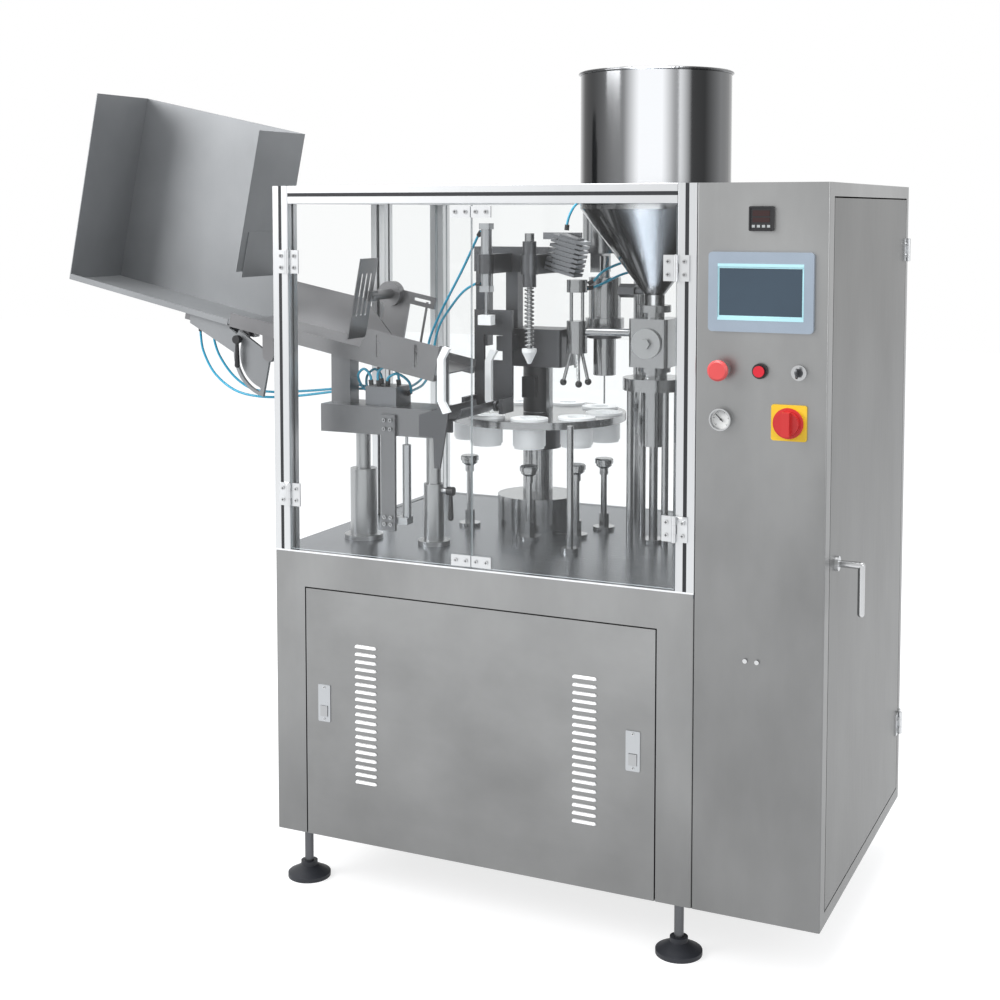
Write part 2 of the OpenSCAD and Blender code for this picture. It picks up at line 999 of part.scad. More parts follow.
module panel_instruments() {
  face_wall = 3;
  face_deep = 2;
  color("#2b2c30") {
    facing_front(tower_mid, tower_top - controller_drop)
      difference() {
        linear_extrude(controller_t)
          centred_outline(controller_w, controller_w, face_wall);
        translate([0, 0, controller_t - face_deep])
          linear_extrude(face_deep + cut)
            centred_outline(controller_w - 2 * face_wall, controller_w - 2 * face_wall, cut);
      }
    for (x = [-button_pitch, 0, button_pitch])
      facing_front(tower_mid + x, tower_top - button_drop)
        button_base();
    facing_front(tower_mid - button_pitch, tower_top - gauge_drop)
      difference() {
        cylinder(h = gauge_t, d = gauge_d);
        translate([0, 0, gauge_wall])
          cylinder(h = gauge_t, d = gauge_d - 2 * gauge_wall);
        cylinder(h = gauge_t, r = cut + fit);
      }
    for (x = [-bolt_gap / 2, bolt_gap / 2])
      facing_front(tower_mid - bolt_gap / 2 + x, tower_top - bolt_drop)
        cylinder(h = bolt_d / 2, d = bolt_d);
  }
}

module gauge_needle() {
  hub_r = 2;
  tail = 6;
  lift = 5;
  color("#17181a")
    facing_front(tower_mid - button_pitch, tower_top - gauge_drop) {
      translate([0, 0, fit])
        cylinder(h = gauge_wall + lift, r = cut);
      translate([0, 0, gauge_wall + lift - hub_r])
        cylinder(h = hub_r, r = hub_r);
      rotate(135)
        translate([-tail, -needle_t, gauge_wall + lift - hub_r])
          cube([tail + needle_l, 2 * needle_t, needle_t]);
    }
}

module estop_button() {
  crown = 4;
  color("#d8423c")
    facing_front(tower_mid - button_pitch, tower_top - button_drop) {
      translate([0, 0, -block_l / 3])
        cylinder(h = block_l / 3 + estop_out - crown, r = stem_r);
      rotate_extrude()
        polygon([
          [0, estop_out - estop_head_t], [estop_d / 2 - crown, estop_out - estop_head_t],
          [estop_d / 2, estop_out - estop_head_t + crown], [estop_d / 2, estop_out - crown],
          [estop_d / 2 - crown, estop_out], [0, estop_out]
        ]);
    }
}

module start_button() {
  color("#d3142c")
    facing_front(tower_mid, tower_top - button_drop) {
      translate([0, 0, -block_l / 3])
        cylinder(h = block_l / 3 + button_out - cut, r = stem_r);
      translate([0, 0, button_out - button_travel + cut / 2])
        cylinder(h = button_travel - cut / 2, d = button_d);
    }
}

module key_switch() {
  bow_w = 22;
  bow_l = 20;
  bow_t = 2.4;
  bow_hole = 6;
  blade_l = 12;
  color("#c8c9ca")
    facing_front(tower_mid + button_pitch, tower_top - button_drop) {
      translate([0, 0, -block_l / 3])
        cylinder(h = block_l / 3 + key_out, r = key_d / 2);
      translate([-bow_t / 2, -bow_w / 2, key_out])
        rotate([90, 0, 90])
          linear_extrude(bow_t)
            difference() {
              union() {
                translate([bow_w / 2 - blade_l / 4, 0])
                  square([blade_l / 2, blade_l]);
                translate([bow_w / 2, blade_l])
                  circle(d = bow_l);
              }
              translate([bow_w / 2, blade_l])
                circle(d = bow_hole);
            }
    }
}

module switch_plate() {
  corner = 5;
  color("#e7c52a")
    facing_front(tower_mid + switch_x, tower_top - gauge_drop)
      difference() {
        union() {
          linear_extrude(switch_t)
            centred_outline(switch_w, switch_w, corner);
          cylinder(h = switch_ring_t, d = switch_ring_d);
        }
        translate([0, 0, -cut])
          cylinder(h = switch_ring_t + 2 * cut, r = stem_r + fit);
      }
}

module switch_knob() {
  shaft_l = 60;
  color("#cf2630")
    facing_front(tower_mid + switch_x, tower_top - gauge_drop) {
      translate([0, 0, -shaft_l])
        cylinder(h = shaft_l + switch_ring_t + cut, r = stem_r);
      translate([0, 0, switch_ring_t + air])
        cylinder(h = knob_t, d = knob_d);
      translate([-knob_grip / 2, -knob_d / 2, switch_ring_t + air])
        cube([knob_grip, knob_d, knob_out - switch_ring_t - air]);
    }
}

// Mounting plate in the tower with relays, drive and terminal rows
module electrical_modules() {
  plate_w = base_d - 180;
  plate_h = tower_h - 420;
  plate_y = 90;
  plate_z = foot_h + 120;
  rows = [[60, 90, 5], [200, 120, 3], [380, 160, 2], [600, 70, 8], [760, 110, 4]];
  gap = 12;
  color("#c2c5c4") {
    translate([tower_x + sheet, plate_y, plate_z])
      cube([tray_t, plate_w, plate_h]);
    for (row = rows, i = [0:row[2] - 1])
      translate([tower_x + sheet + tray_t, plate_y + gap + i * (plate_w - gap) / row[2], plate_z + row[0]])
        cube([module_d, (plate_w - gap) / row[2] - gap, row[1]]);
  }
}

// Guard frame

post_places = [
  [0, 0], [base_w - profile, 0], [0, mid_post_y],
  [0, base_d - profile], [base_w - profile, base_d - profile]
];

// Bar of profile between two points of the top frame
module rail_x(y) {
  translate([profile + bar_gap, y, tower_top - profile])
    rotate([90, 0, 90])
      linear_extrude(base_w - 2 * profile - 2 * bar_gap)
        profile_section();
}

module rail_y(x, from, to) {
  translate([x, to - bar_gap, tower_top - profile])
    rotate([90, 0, 0])
      linear_extrude(to - from - 2 * bar_gap)
        profile_section();
}

module frame_profiles() {
  color("#c8cbcd") {
    for (p = post_places)
      translate([p[0], p[1], zt])
        linear_extrude(frame_h)
          profile_section();
    rail_x(0);
    rail_x(base_d - profile);
    rail_y(0, profile, mid_post_y);
    rail_y(0, mid_post_y + profile, base_d - profile);
    rail_y(base_w - profile, profile, base_d - profile);
  }
}

module guard_panels() {
  inset = (profile - door_t) / 2;
  color("#cfe0e6", 0.25) {
    translate([profile, base_d - profile + inset, zt])
      cube([base_w - 2 * profile, door_t, frame_h - profile]);
    translate([inset, mid_post_y + profile, zt])
      cube([door_t, base_d - mid_post_y - 2 * profile, frame_h - profile]);
  }
}

module hinge_sets() {
  color("#d6d8da") {
    front_hinges(left_axis) {
      hinge_leaf(-1, true);
    }
    front_hinges(left_axis)
      hinge_pin();
    front_hinges(right_axis)
      hinge_leaf(1, true);
    front_hinges(right_axis)
      hinge_pin();
    tower_hinge_places()
      hinge_leaf(1, true);
    tower_hinge_places()
      hinge_pin();
  }
}

door_w = (base_w - 2 * profile - 3 * door_gap) / 2;
door_h = frame_h - profile - 2 * door_lift;

// Clear door between a post and the middle seam
module clear_door(x) {
  color("#cfe0e6", 0.25)
    translate([x, 0, zt + door_lift])
      cube([door_w, door_t, door_h]);
}

module left_door() {
  clear_door(profile + door_gap);
}

module right_door() {
  clear_door(profile + 2 * door_gap + door_w);
}

// Catch plates at the free corners of a door
module door_catches(x) {
  margin = 2;
  for (z = [zt + door_lift + margin, zt + door_lift + door_h - catch_h - margin])
    translate([x, -leaf_t, z])
      cube([catch_w, leaf_t, catch_h]);
}

module left_door_fittings() {
  color("#cfd1d3") {
    front_hinges(left_axis)
      hinge_leaf(1, false);
    door_catches(profile + door_gap + door_w - catch_w);
  }
}

module right_door_fittings() {
  color("#cfd1d3") {
    front_hinges(right_axis)
      hinge_leaf(-1, false);
    door_catches(profile + 2 * door_gap + door_w);
  }
}

// Turntable

module table_bushes() {
  foot_d = 40;
  foot_t = 12;
  color("#b4b6b8") {
    above([turn_x, turn_y], 0)
      pipe(drum_h, drum_d / 2, column_d / 2 + fit);
    for (p = [press, fill, heat, eject])
      above(p, 0) {
        pipe(bush_flange_t, bush_flange_d / 2, lifter_d / 2 + fit);
        translate([0, 0, bush_flange_t])
          difference() {
            cylinder(h = bush_nut_h, d = bush_nut_d, $fn = 6);
            cylinder(h = bush_nut_h + cut, r = lifter_d / 2 + fit);
          }
      }
    above([fill_x, fill_y], 0)
      pipe(bush_flange_t, bush_flange_d / 2, piston_rod_d / 2 + fit);
    above(probe, 0) {
      cylinder(h = foot_t, d = foot_d);
      cylinder(h = probe_h, d = probe_d);
    }
  }
}

module centre_column() {
  color("#8d8f92")
    above([turn_x, turn_y], 0) {
      translate([0, 0, -table_t - socket_deep])
        cylinder(h = table_t + socket_deep + shoulder, d = core_d);
      translate([0, 0, shoulder])
        cylinder(h = head_low - shoulder, d = column_d);
      translate([-sensor[0] * 0.6, -column_d / 2 - sensor[1] * 0.6, shoulder + column_d / 2])
        cube(sensor);
    }
}

module turntable_hub() {
  tail = table_t + socket_deep - seam;
  color("#3d3e42")
    above([turn_x, turn_y], 0)
      difference() {
        union() {
          translate([0, 0, -tail])
            cylinder(h = hub_low + tail, d = column_d);
          translate([0, 0, hub_low])
            cylinder(h = disc_low - hub_low, d = hub_d);
        }
        translate([0, 0, -tail - cut])
          cylinder(h = disc_low + tail + 2 * cut, d = core_d + 2 * fit);
      }
}

module turntable_disc() {
  color("#e9ebec")
    difference() {
      above([turn_x, turn_y], disc_low)
        pipe(disc_t, disc_d / 2, core_d / 2 + fit);
      for (k = [0:stations - 1])
        above(station(k), disc_low - cut)
          cylinder(h = disc_t + 2 * cut, d = cup_d);
    }
}

module tube_cups() {
  low = cup_rise - cup_h;
  shade = 6;
  color("#f2f3f3")
    for (k = [0:stations - 1])
      above(station(k), disc_top)
        rotate_extrude()
          polygon([
            [cup_pin_d / 2, low], [cup_d / 2 - shade / 2, low], [cup_d / 2 - shade / 2, low + shade],
            [cup_d / 2, low + shade], [cup_d / 2, 0], [cup_flange_d / 2, 0],
            [cup_flange_d / 2, cup_rise], [cup_bore / 2, cup_rise],
            [cup_bore / 2, low + cup_floor], [cup_pin_d / 2, low + cup_floor]
          ]);
}

// Lifting rod under a station
module lifter(p) {
  collar = 6;
  neck = lifter_d / 2 + collar / 2;
  head = lifter_head_d / 2;
  above(p, 0) {
    translate([0, 0, -lifter_low])
      cylinder(h = lifter_low + lifter_neck, d = lifter_d);
    rotate_extrude()
      polygon([
        [0, lifter_neck], [neck, lifter_neck], [neck, lifter_top - 4 * collar],
        [head - collar / 2, lifter_top - 3 * collar], [head - collar / 2, lifter_top - 2 * collar],
        [head, lifter_top - 2 * collar], [head, lifter_top - collar / 2],
        [head - collar / 2, lifter_top], [0, lifter_top]
      ]);
  }
}

module lifter_front() {
  color("#c6c8ca")
    for (p = [press, eject])
      lifter(p);
}

module lifter_side() {
  color("#c6c8ca")
    for (p = [fill, heat])
      lifter(p);
}

// Head casting, risers, top arm and the bush of the tube presser
module head_block() {
  round_r = 8;
  arm_y = head_y;
  bracket_x = fin_at[0] + bracket_leg * 0.7;
  color("#5d5f64") {
    difference() {
      union() {
        above([head_x, head_y], head_low)
          linear_extrude(head_h)
            rounded_outline(head_l, head_w, round_r);
        for (x = [arm_x, head_x])
          above([x, arm_y + 10], head_top - head_h / 2)
            cube([riser_w, riser_w, arm_low - head_top + head_h / 2]);
        above([arm_x, arm_y], arm_low)
          cube([arm_l, arm_d, arm_h]);
        for (p = [load, press]) {
          above([p[0] - boss_w / 2, p[1]], arm_low)
            cube([boss_w, arm_y - p[1] + cut, arm_h - boss_drop]);
          above(p, arm_low)
            cylinder(h = arm_h - boss_drop, d = boss_d);
        }
        above([head_x + head_l - cut, heat[1] - boss_w / 2], heat_flange_h - heat_flange_t)
          cube([heat[0] - head_x - head_l - heat_low_r, boss_w, heat_flange_t]);
        above(press, bush_low)
          cylinder(h = bush_h, d = bush_d);
        above(heat, heat_flange_h - heat_flange_t)
          cylinder(h = heat_flange_t, r = heat_flange_r - 6);
        above([fin_at[0] - fin_core / 2, fin_at[1]], fin_h - fin_core / 2)
          cube([fin_core, arm_y - fin_at[1] + cut, fin_core / 2]);
        above([bracket_x - bracket_w, arm_y - bracket_t], bracket_top - bracket_bar)
          cube([bracket_w, bracket_t + cut, bracket_bar]);
        above([bracket_x - bracket_leg, arm_y - bracket_t], bracket_low)
          cube([bracket_leg, bracket_t + cut, bracket_top - bracket_low]);
      }
      above(load, arm_low - cut)
        cylinder(h = arm_h + 2 * cut, d = press_d + 2 * fit);
      above(press, bush_low - cut)
        cylinder(h = bush_h + 2 * cut, d = spindle_d + 2 * fit);
      above(heat, heat_flange_h - heat_flange_t - cut)
        cylinder(h = heat_flange_t + 2 * cut, r = heat_low_r + fit);
    }
    above(fin_at, fin_h)
      rotate([0, fin_tilt, 0]) {
        translate([-fin_core / 2, -fin_core / 2, -fins * fin_pitch / 2])
          cube([fin_core, fin_core, fins * fin_pitch]);
        for (i = [0:fins - 1])
          translate([-fin_size[0] / 2, -fin_size[1] / 2, (i - fins / 2) * fin_pitch])
            cube(fin_size);
      }
  }
}

module cone_spindle() {
  tip_r = 4;
  skirt = 8;
  nut_r = 11;
  nut_l = 18;
  rod_top = bush_low + bush_h + nut_l + air;
  color("#d8d9da") {
    above(press, cone_top)
      cylinder(h = rod_top - cone_top, d = spindle_d);
    above(press, bush_low + bush_h + air)
      pipe(nut_l, nut_r, spindle_d / 2);
    above(press, cone_top - cone_l)
      rotate_extrude()
        polygon([
          [0, 0], [tip_r, 0], [cone_r, cone_l - skirt], [cone_r, cone_l], [0, cone_l]
        ]);
  }
}

module spindle_spring() {
  sides = 6;
  per_turn = 12;
  length = bush_low - cone_top - 2 * (spring_wire + air);
  rings = spring_turns * per_turn;
  path = [for (i = [0:rings]) [
    spring_r * cos(i * 360 / per_turn),
    spring_r * sin(i * 360 / per_turn),
    i * length / rings
  ]];
  points = [for (i = [0:rings]) each let (a = i * 360 / per_turn) [
    for (k = [0:sides - 1]) path[i]
      + spring_wire * cos(k * 360 / sides) * [cos(a), sin(a), 0]
      + spring_wire * sin(k * 360 / sides) * [0, 0, 1]
  ]];
  walls = [for (i = [0:rings - 1], k = [0:sides - 1]) [
    i * sides + k,
    (i + 1) * sides + k,
    (i + 1) * sides + (k + 1) % sides,
    i * sides + (k + 1) % sides
  ]];
  near = [for (k = [0:sides - 1]) k];
  far = [for (k = [sides - 1:-1:0]) rings * sides + k];
  color("#b9babb")
    above(press, cone_top + spring_wire + air)
      polyhedron(points = points, faces = concat([near], walls, [far]));
}

module press_rod() {
  color("#e4e5e5")
    above(load, 0) {
      translate([-pad_size[0] / 2, -pad_size[1] / 2, pad_top - pad_size[2]])
        cube(pad_size);
      translate([0, 0, pad_top])
        cylinder(h = press_low - pad_top + press_l - 2 * press_rod_d, d = press_rod_d);
    }
}

// Air cylinders and the valve row on the platform
module air_cylinders() {
  cap = 28;
  cap_h = 14;
  clevis = 16;
  color("#c3c6c9") {
    above(load, press_low)
      difference() {
        union() {
          cylinder(h = press_l, d = press_d);
          for (z = [0, press_l - cap_h])
            translate([0, 0, z])
              linear_extrude(cap_h)
                centred_outline(cap, cap, 4);
        }
        translate([0, 0, -cut])
          cylinder(h = press_l - press_rod_d + cut, d = press_rod_d + 2 * fit);
      }
    above([air_x, air_y], air_low) {
      cylinder(h = air_l, r = air_r);
      cylinder(h = air_l + air_rod, r = air_r / 3);
    }
    above([hang_x + hang_w / 2, platform_y], air_low - clevis)
      cube([air_x + air_r - hang_x - hang_w / 2, air_y + air_r - platform_y, clevis]);
    above([manifold_x, manifold_y], platform_low + platform_h)
      cube(manifold);
  }
}

// Loading station

module loader_frame() {
  lug_x = trough_r + trough_wall + ear_w + lug_gap;
  lug_t = 10;
  color("#5a5c61") {
    above([load[0] - loader_w / 2, loader_y], loader_low)
      difference() {
        cube([loader_w, loader_t, loader_top - loader_low]);
        translate([loader_w / 4, -cut, (loader_top - loader_low) / 2])
          cube([loader_w / 2, loader_t + 2 * cut, (loader_top - loader_low) / 4]);
      }
    above([load[0] + 4, loader_y + loader_t], head_low + 40)
      cube([30, head_y - loader_y - loader_t, 36]);
    for (s = [-1, 1])
      above([load[0] + s * lug_x - (s > 0 ? 0 : lug_t), trough_pivot_y - ear_r], loader_low)
        cube([lug_t, loader_y - trough_pivot_y + ear_r, 2 * (pivot_lift - loader_low)]);
    for (s = [-1, 1])
      above([load[0] + s * (trough_r + trough_wall + 1), trough_pivot_y], pivot_lift)
        rotate([0, s * 90, 0])
          cylinder(h = ear_w + lug_gap + lug_t - 1, r = ear_pin_r);
    upright(blade_y, platform_y - blade_y)
      polygon([
        [platform_x + platform_l - 30, platform_low + 4],
        [load[0] - 32, platform_low + 4], [load[0] - 30, platform_low - 66],
        [load[0] - 16, platform_low - 66], [load[0] + 4, platform_low + 48],
        [load[0] + 4, guide_low + guide_l], [load[0] - 16, guide_low + guide_l],
        [load[0] - 22, platform_low + 68], [platform_x + platform_l - 30, platform_low + 52]
      ]);
  }
}

guide_low = disc_top + 33;

// White guide at one end of the tubes, straight with its ends bent away, drawn in x and z
module tube_guide(y, low, l) {
  bend = 2 * guide_bow;
  upright(y, guide_t)
    translate([load[0], low])
      polygon([
        [guide_bow - guide_w, 0], [guide_bow, guide_w / 4], [0, bend], [0, l - bend],
        [guide_bow, l - guide_w / 4], [guide_bow - guide_w, l], [-guide_w, l - bend], [-guide_w, bend]
      ]);
}

module tube_guides() {
  color("#f1f2f2") {
    tube_guide(blade_y - guide_t, guide_low, guide_l);
    tube_guide(loader_y - guide_t, loader_low - 4, guide_l);
  }
}

module tube_cradle() {
  outer = trough_r + trough_wall;
  color("#6a6c70")
    difference() {
      union() {
        above([load[0], trough_rear], trough_h)
          rotate([90, 0, 0])
            difference() {
              cylinder(h = trough_rear - trough_y, r = outer);
              translate([0, 0, -cut])
                cylinder(h = trough_rear - trough_y + 2 * cut, r = trough_r);
              translate([-2 * outer, 0, -cut])
                cube([4 * outer, 2 * outer, trough_rear - trough_y + 2 * cut]);
            }
        for (s = [-1, 1])
          above([load[0] + s * (outer - 1), trough_pivot_y], pivot_lift)
            rotate([0, s * 90, 0])
              cylinder(h = ear_w + 1, r = ear_r);
      }
      for (s = [-1, 1])
        above([load[0] + s * (trough_r + 1), trough_pivot_y], pivot_lift)
          rotate([0, s * 90, 0])
            cylinder(h = trough_wall + ear_w + lug_gap, r = ear_pin_r + fit);
      above([load[0], trough_rear + cut], trough_h)
        rotate([90, 0, 0])
          cylinder(h = trough_rear - trough_y + 2 * cut, r = trough_r);
    }
}

// Platform

module platform_beam() {
  color("#54565b") {
    difference() {
      above([platform_x, platform_y], platform_low)
        cube([platform_l, platform_d, platform_h]);
      above([platform_x - cut, platform_y + platform_t], platform_low - cut)
        cube([platform_l + 2 * cut, platform_d - 2 * platform_t, platform_h - platform_t + cut]);
    }
    difference() {
      above([rest_x, chute_y + chute_beam_w], platform_low + platform_h)
        cube([rest_w, rest_d, chute_h - platform_low - platform_h]);
      on_chute()
        translate([0, 0, -chute_t])
          cube([chute_l, base_d, chute_h]);
    }
    above([hang_x, platform_y - hang_t], hang_low)
      cube([hang_w, hang_t, hang_high - hang_low]);
  }
}

module platform_columns() {
  flange_t = 10;
  flange = 14;
  top = platform_low + platform_h - platform_t;
  boss_l = 12;
  color("#a7a9ab") {
    for (c = [[post_a, post_a_r, post_a_sleeve], [post_b, post_b_r, post_b_sleeve]])
      above(c[0], 0) {
        cylinder(h = flange_t, r = c[1] + flange);
        translate([0, 0, flange_t])
          cylinder(h = c[2] - flange_t, r = c[1]);
        translate([0, 0, c[2]])
          cylinder(h = top - c[2], r = shaft_r);
      }
    above(post_b, lever_h)
      rotate([0, 90, 0])
        cylinder(h = post_b_r + boss_l, r = lever_r + 2);
  }
}

// Clamp lever: hub about local z, handle along local -y
module clamp_lever(hub_l, reach) {
  tip = 1.3;
  cylinder(h = hub_l, r = 2 * lever_r);
  translate([0, 0, hub_l / 2])
    rotate([90, 0, 0]) {
      cylinder(h = reach, r1 = lever_r * 0.8, r2 = lever_r * tip);
      translate([0, 0, reach])
        sphere(r = lever_r * tip);
    }
}

module column_lever() {
  start = post_b_r + 12 + air;
  color("#1e1f22")
    translate([post_b[0] + start, post_b[1], zt + lever_h])
      rotate([90, 0, 90])
        clamp_lever(16, lever_l);
}

module bin_lever() {
  color("#1e1f22")
    facing_front(stud_x, zt + stud_h, chute_y + lever_hub)
      clamp_lever(lever_hub, lever_l);
}

// Chute and tube magazine

module tube_chute() {
  rear = chute_y + chute_w;
  spacer_l = 45;
  bar_h = 18;
  bar_top = 16;
  color("#a9abaa") {
    difference() {
      union() {
        on_chute() {
          translate([0, chute_y, -chute_t])
            cube([chute_l, chute_w, chute_t]);
          for (y = [chute_y, rear - chute_beam_w])
            translate([0, y, -chute_beam])
              cube([chute_l, chute_beam_w, chute_beam - chute_t + cut / 2]);
          translate([0, chute_y, -chute_t])
            cube([chute_lip_l, chute_wall, chute_lip + chute_t]);
          translate([0, rear, 0])
            rotate([90, 0, 0])
              linear_extrude(chute_wall)
                polygon([
                  [0, -chute_t], [chute_l, -chute_t], [chute_l, chute_lip],
                  [chute_rear_l + chute_slope_l, chute_lip], [chute_rear_l, chute_rear_h], [0, chute_rear_h]
                ]);
        }
        difference() {
          union() {
            upright(lug_y, lug_t) {
              translate([pivot_x, pivot_h])
                circle(r = 2.5 * pivot_r);
              translate([pivot_x - 2.5 * pivot_r, pivot_h])
                square([5 * pivot_r, chute_h - pivot_h]);
            }
            upright(stud_bracket_y, lug_t)
              translate([stud_x - 2 * stud_r, stud_h - 2 * stud_r])
                square([5 * stud_r, chute_h - stud_h + 2 * stud_r]);
          }
          on_chute()
            translate([-chute_l, 0, -chute_t])
              cube([2 * chute_l, base_d, chute_l]);
        }
        on_chute() {
          translate([-rest_bar_l, rest_bar_y, -bar_top - bar_h])
            cube([rest_bar_l + spacer_l, rest_bar_w, bar_h]);
          translate([0, rest_bar_y, -bar_top - cut])
            cube([spacer_l, rest_bar_w, bar_top + cut - chute_t / 2]);
        }
        facing_front(pivot_x, zt + pivot_h, sector_y + sector_t + 4)
          cylinder(h = sector_y + sector_t + 4 - lug_y, r = pivot_r);
        facing_front(stud_x, zt + stud_h, stud_bracket_y + lug_t)
          cylinder(h = stud_bracket_y + lug_t - chute_y - lever_hub - air, r = stud_r);
      }
      on_chute()
        translate([-cut, sector_y - 3, -chute_t - cut])
          cube([notch_l + cut, sector_t + 6, chute_t + 2 * cut]);
    }
  }
}

// Slotted guide plate, height gate and its carrier behind the chute
module chute_fittings() {
  slot_h = 44;
  plate_l = chute_l - chute_lip_l;
  rear = chute_y + chute_w;
  post_w = 66;
  post_t = 6;
  rod_r = 12;
  ring_r = 30;
  ring_t = 24;
  carrier_h = 124;
  arm_l = 118;
  arm_h = 28;
  link_r = 3;
  color("#b3b5b5") {
    on_chute() {
      translate([chute_lip_l, chute_y, 0])
        rotate([90, 0, 0])
          linear_extrude(chute_t)
            difference() {
              polygon([
                [0, -chute_beam], [plate_l, -chute_beam], [plate_l, guide_h],
                [guide_h / 4, guide_h], [0, chute_lip]
              ]);
              for (x = [plate_l / 4, plate_l * 3 / 4])
                translate([x, guide_h / 2 - slot_h / 2])
                  rotate(chute_tilt)
                    centred_slot(slot_w, slot_h);
            }
      translate([gate_x, gate_y - gate_w / 2, gate_lift])
        rotate([90, 0, 90])
          linear_extrude(gate_t)
            difference() {
              square([gate_w, gate_l]);
              for (y = [gate_w / 4, gate_w / 2, gate_w * 3 / 4])
                translate([y, gate_l * 0.3])
                  centred_slot(slot_w, gate_l * 0.5);
            }
      translate([gate_x - ring_r / 2, rear, -chute_beam])
        cube([post_w, post_t, chute_beam + carrier_h]);
      translate([gate_x + gate_t / 2, rear + post_t, carrier_h])
        rotate([90, 0, 0]) {
          cylinder(h = ring_t, r = ring_r);
          cylinder(h = rear + post_t - gate_y - gate_w / 2 + 10, r = rod_r);
        }
      translate([gate_x + gate_t, gate_y + gate_w / 2 - 20, carrier_h - rod_r])
        cube([8, 30, 2 * rod_r]);
      translate([gate_x, rear + post_t, carrier_h - arm_h / 2])
        rotate([90, 0, 0])
          linear_extrude(post_t)
            difference() {
              square([arm_l, arm_h]);
              translate([arm_l - arm_h / 2, arm_h / 2])
                rotate(90)
                  centred_slot(slot_w, arm_l / 3);
            }
      translate([gate_x + arm_l - arm_h, rear, -chute_beam])
        cube([arm_h / 2, post_t, chute_beam]);
      translate([gate_x + arm_l - arm_h * 0.75, rear + post_t / 2, -cut])
        cylinder(h = carrier_h, r = link_r);
    }
  }
}

// Slot with round ends, standing on the origin
module centred_slot(w, l) {
  translate([-w / 2, 0])
    square([w, l]);
  for (y = [0, l])
    translate([0, y])
      circle(d = w);
}

// Triangle fan from the origin that covers the angles from one direction to another
module fan(r, from, to) {
  far = 3 * r;
  mid = (from + to) / 2;
  polygon([
    [0, 0], far * [cos(from), sin(from)], far * [cos(mid), sin(mid)], far * [cos(to), sin(to)]
  ]);
}

// Quadrant under the magazine with its curved slot
module quadrant() {
  half = sector_slot / 2;
  cap = half + fit;
  arm_l = 120;
  edge = 5;
  difference() {
    upright(sector_y, sector_t)
      difference() {
        union() {
          translate([pivot_x, pivot_h]) {
            intersection() {
              circle(r = sector_r);
              fan(sector_r, sector_from, sector_to);
            }
            circle(r = 3 * pivot_r);
          }
          polygon([
            [bin_x - arm_l, bin_floor_h], [bin_x - arm_l, bin_floor_h + arm_l],
            [bin_x - edge, bin_floor_h + arm_l], [bin_x - edge, bin_floor_h - 2 * edge],
            [pivot_x - sector_r * 0.7, pivot_h + sector_r * 0.3],
            [pivot_x - sector_r * 0.8, pivot_h - 2 * edge]
          ]);
        }
        translate([pivot_x, pivot_h]) {
          circle(r = pivot_r + fit);
          intersection() {
            difference() {
              circle(r = sector_slot_r + half);
              circle(r = sector_slot_r - half);
            }
            fan(sector_r, stud_angle, stud_end_angle);
          }
          for (a = [stud_angle, stud_end_angle])
            rotate(a)
              translate([sector_slot_r, 0])
                circle(r = cap);
        }
      }
    on_bin()
      translate([-2 * bin_l, 0, bin_wall / 2])
        cube([3 * bin_l, base_d, bin_l]);
  }
}

module tube_bin() {
  color("#9b9d9c") {
    on_bin() {
      translate([-bin_l, bin_y, 0])
        cube([bin_l, bin_w, bin_wall]);
      translate([-bin_l, bin_y, 0])
        cube([bin_wall, bin_w, bin_h]);
      translate([-bin_l, bin_y + bin_w - bin_wall, 0])
        cube([bin_l, bin_wall, bin_h]);
      translate([-bin_wall, bin_y, gate_h])
        cube([bin_wall, bin_w, bin_h - gate_h]);
      translate([-bin_l, bin_y, 0])
        cube([bin_l, bin_wall, bin_lip]);
      translate([0, bin_y + (bin_w - bin_gate[1]) / 2, gate_h - bin_lip])
        cube(bin_gate);
    }
    quadrant();
  }
}

// Heating, sealing and filling

module heat_seal_units() {
  arm_t = 24;
  color("#c9cacb") {
    above(heat, 0) {
      translate([0, 0, heat_flange_h])
        cylinder(h = heat_flange_t, r = heat_flange_r);
      translate([0, 0, heat_foot])
        cylinder(h = heat_flange_h - heat_foot, r = heat_low_r);
      translate([0, 0, heat_tip])
        cylinder(h = heat_foot - heat_tip, r = heat_tip_r);
      translate([0, 0, heat_flange_h + heat_flange_t])
        cylinder(h = heat_body_h, r = heat_top_r);
      translate([0, 0, heat_flange_h + heat_flange_t + heat_body_h])
        cylinder(h = heat_neck_h, r = heat_neck_r);
    }
    above(seal_post, 0)
      cylinder(h = seal_low + seal_h, r = seal_post_r);
    above(seal, seal_low)
      cylinder(h = seal_h, r = seal_r);
    above(seal, seal_low)
      linear_extrude(arm_t)
        rotate(atan2(seal_post[1] - seal[1], seal_post[0] - seal[0]))
          translate([0, -seal_post_r])
            square([norm(seal_post - seal), 2 * seal_post_r]);
    above([seal[0] - jaw_w / 2, seal[1] - jaw_w], seal_low - jaw_h)
      cube([jaw_w, 2 * jaw_w, jaw_h]);
  }
}

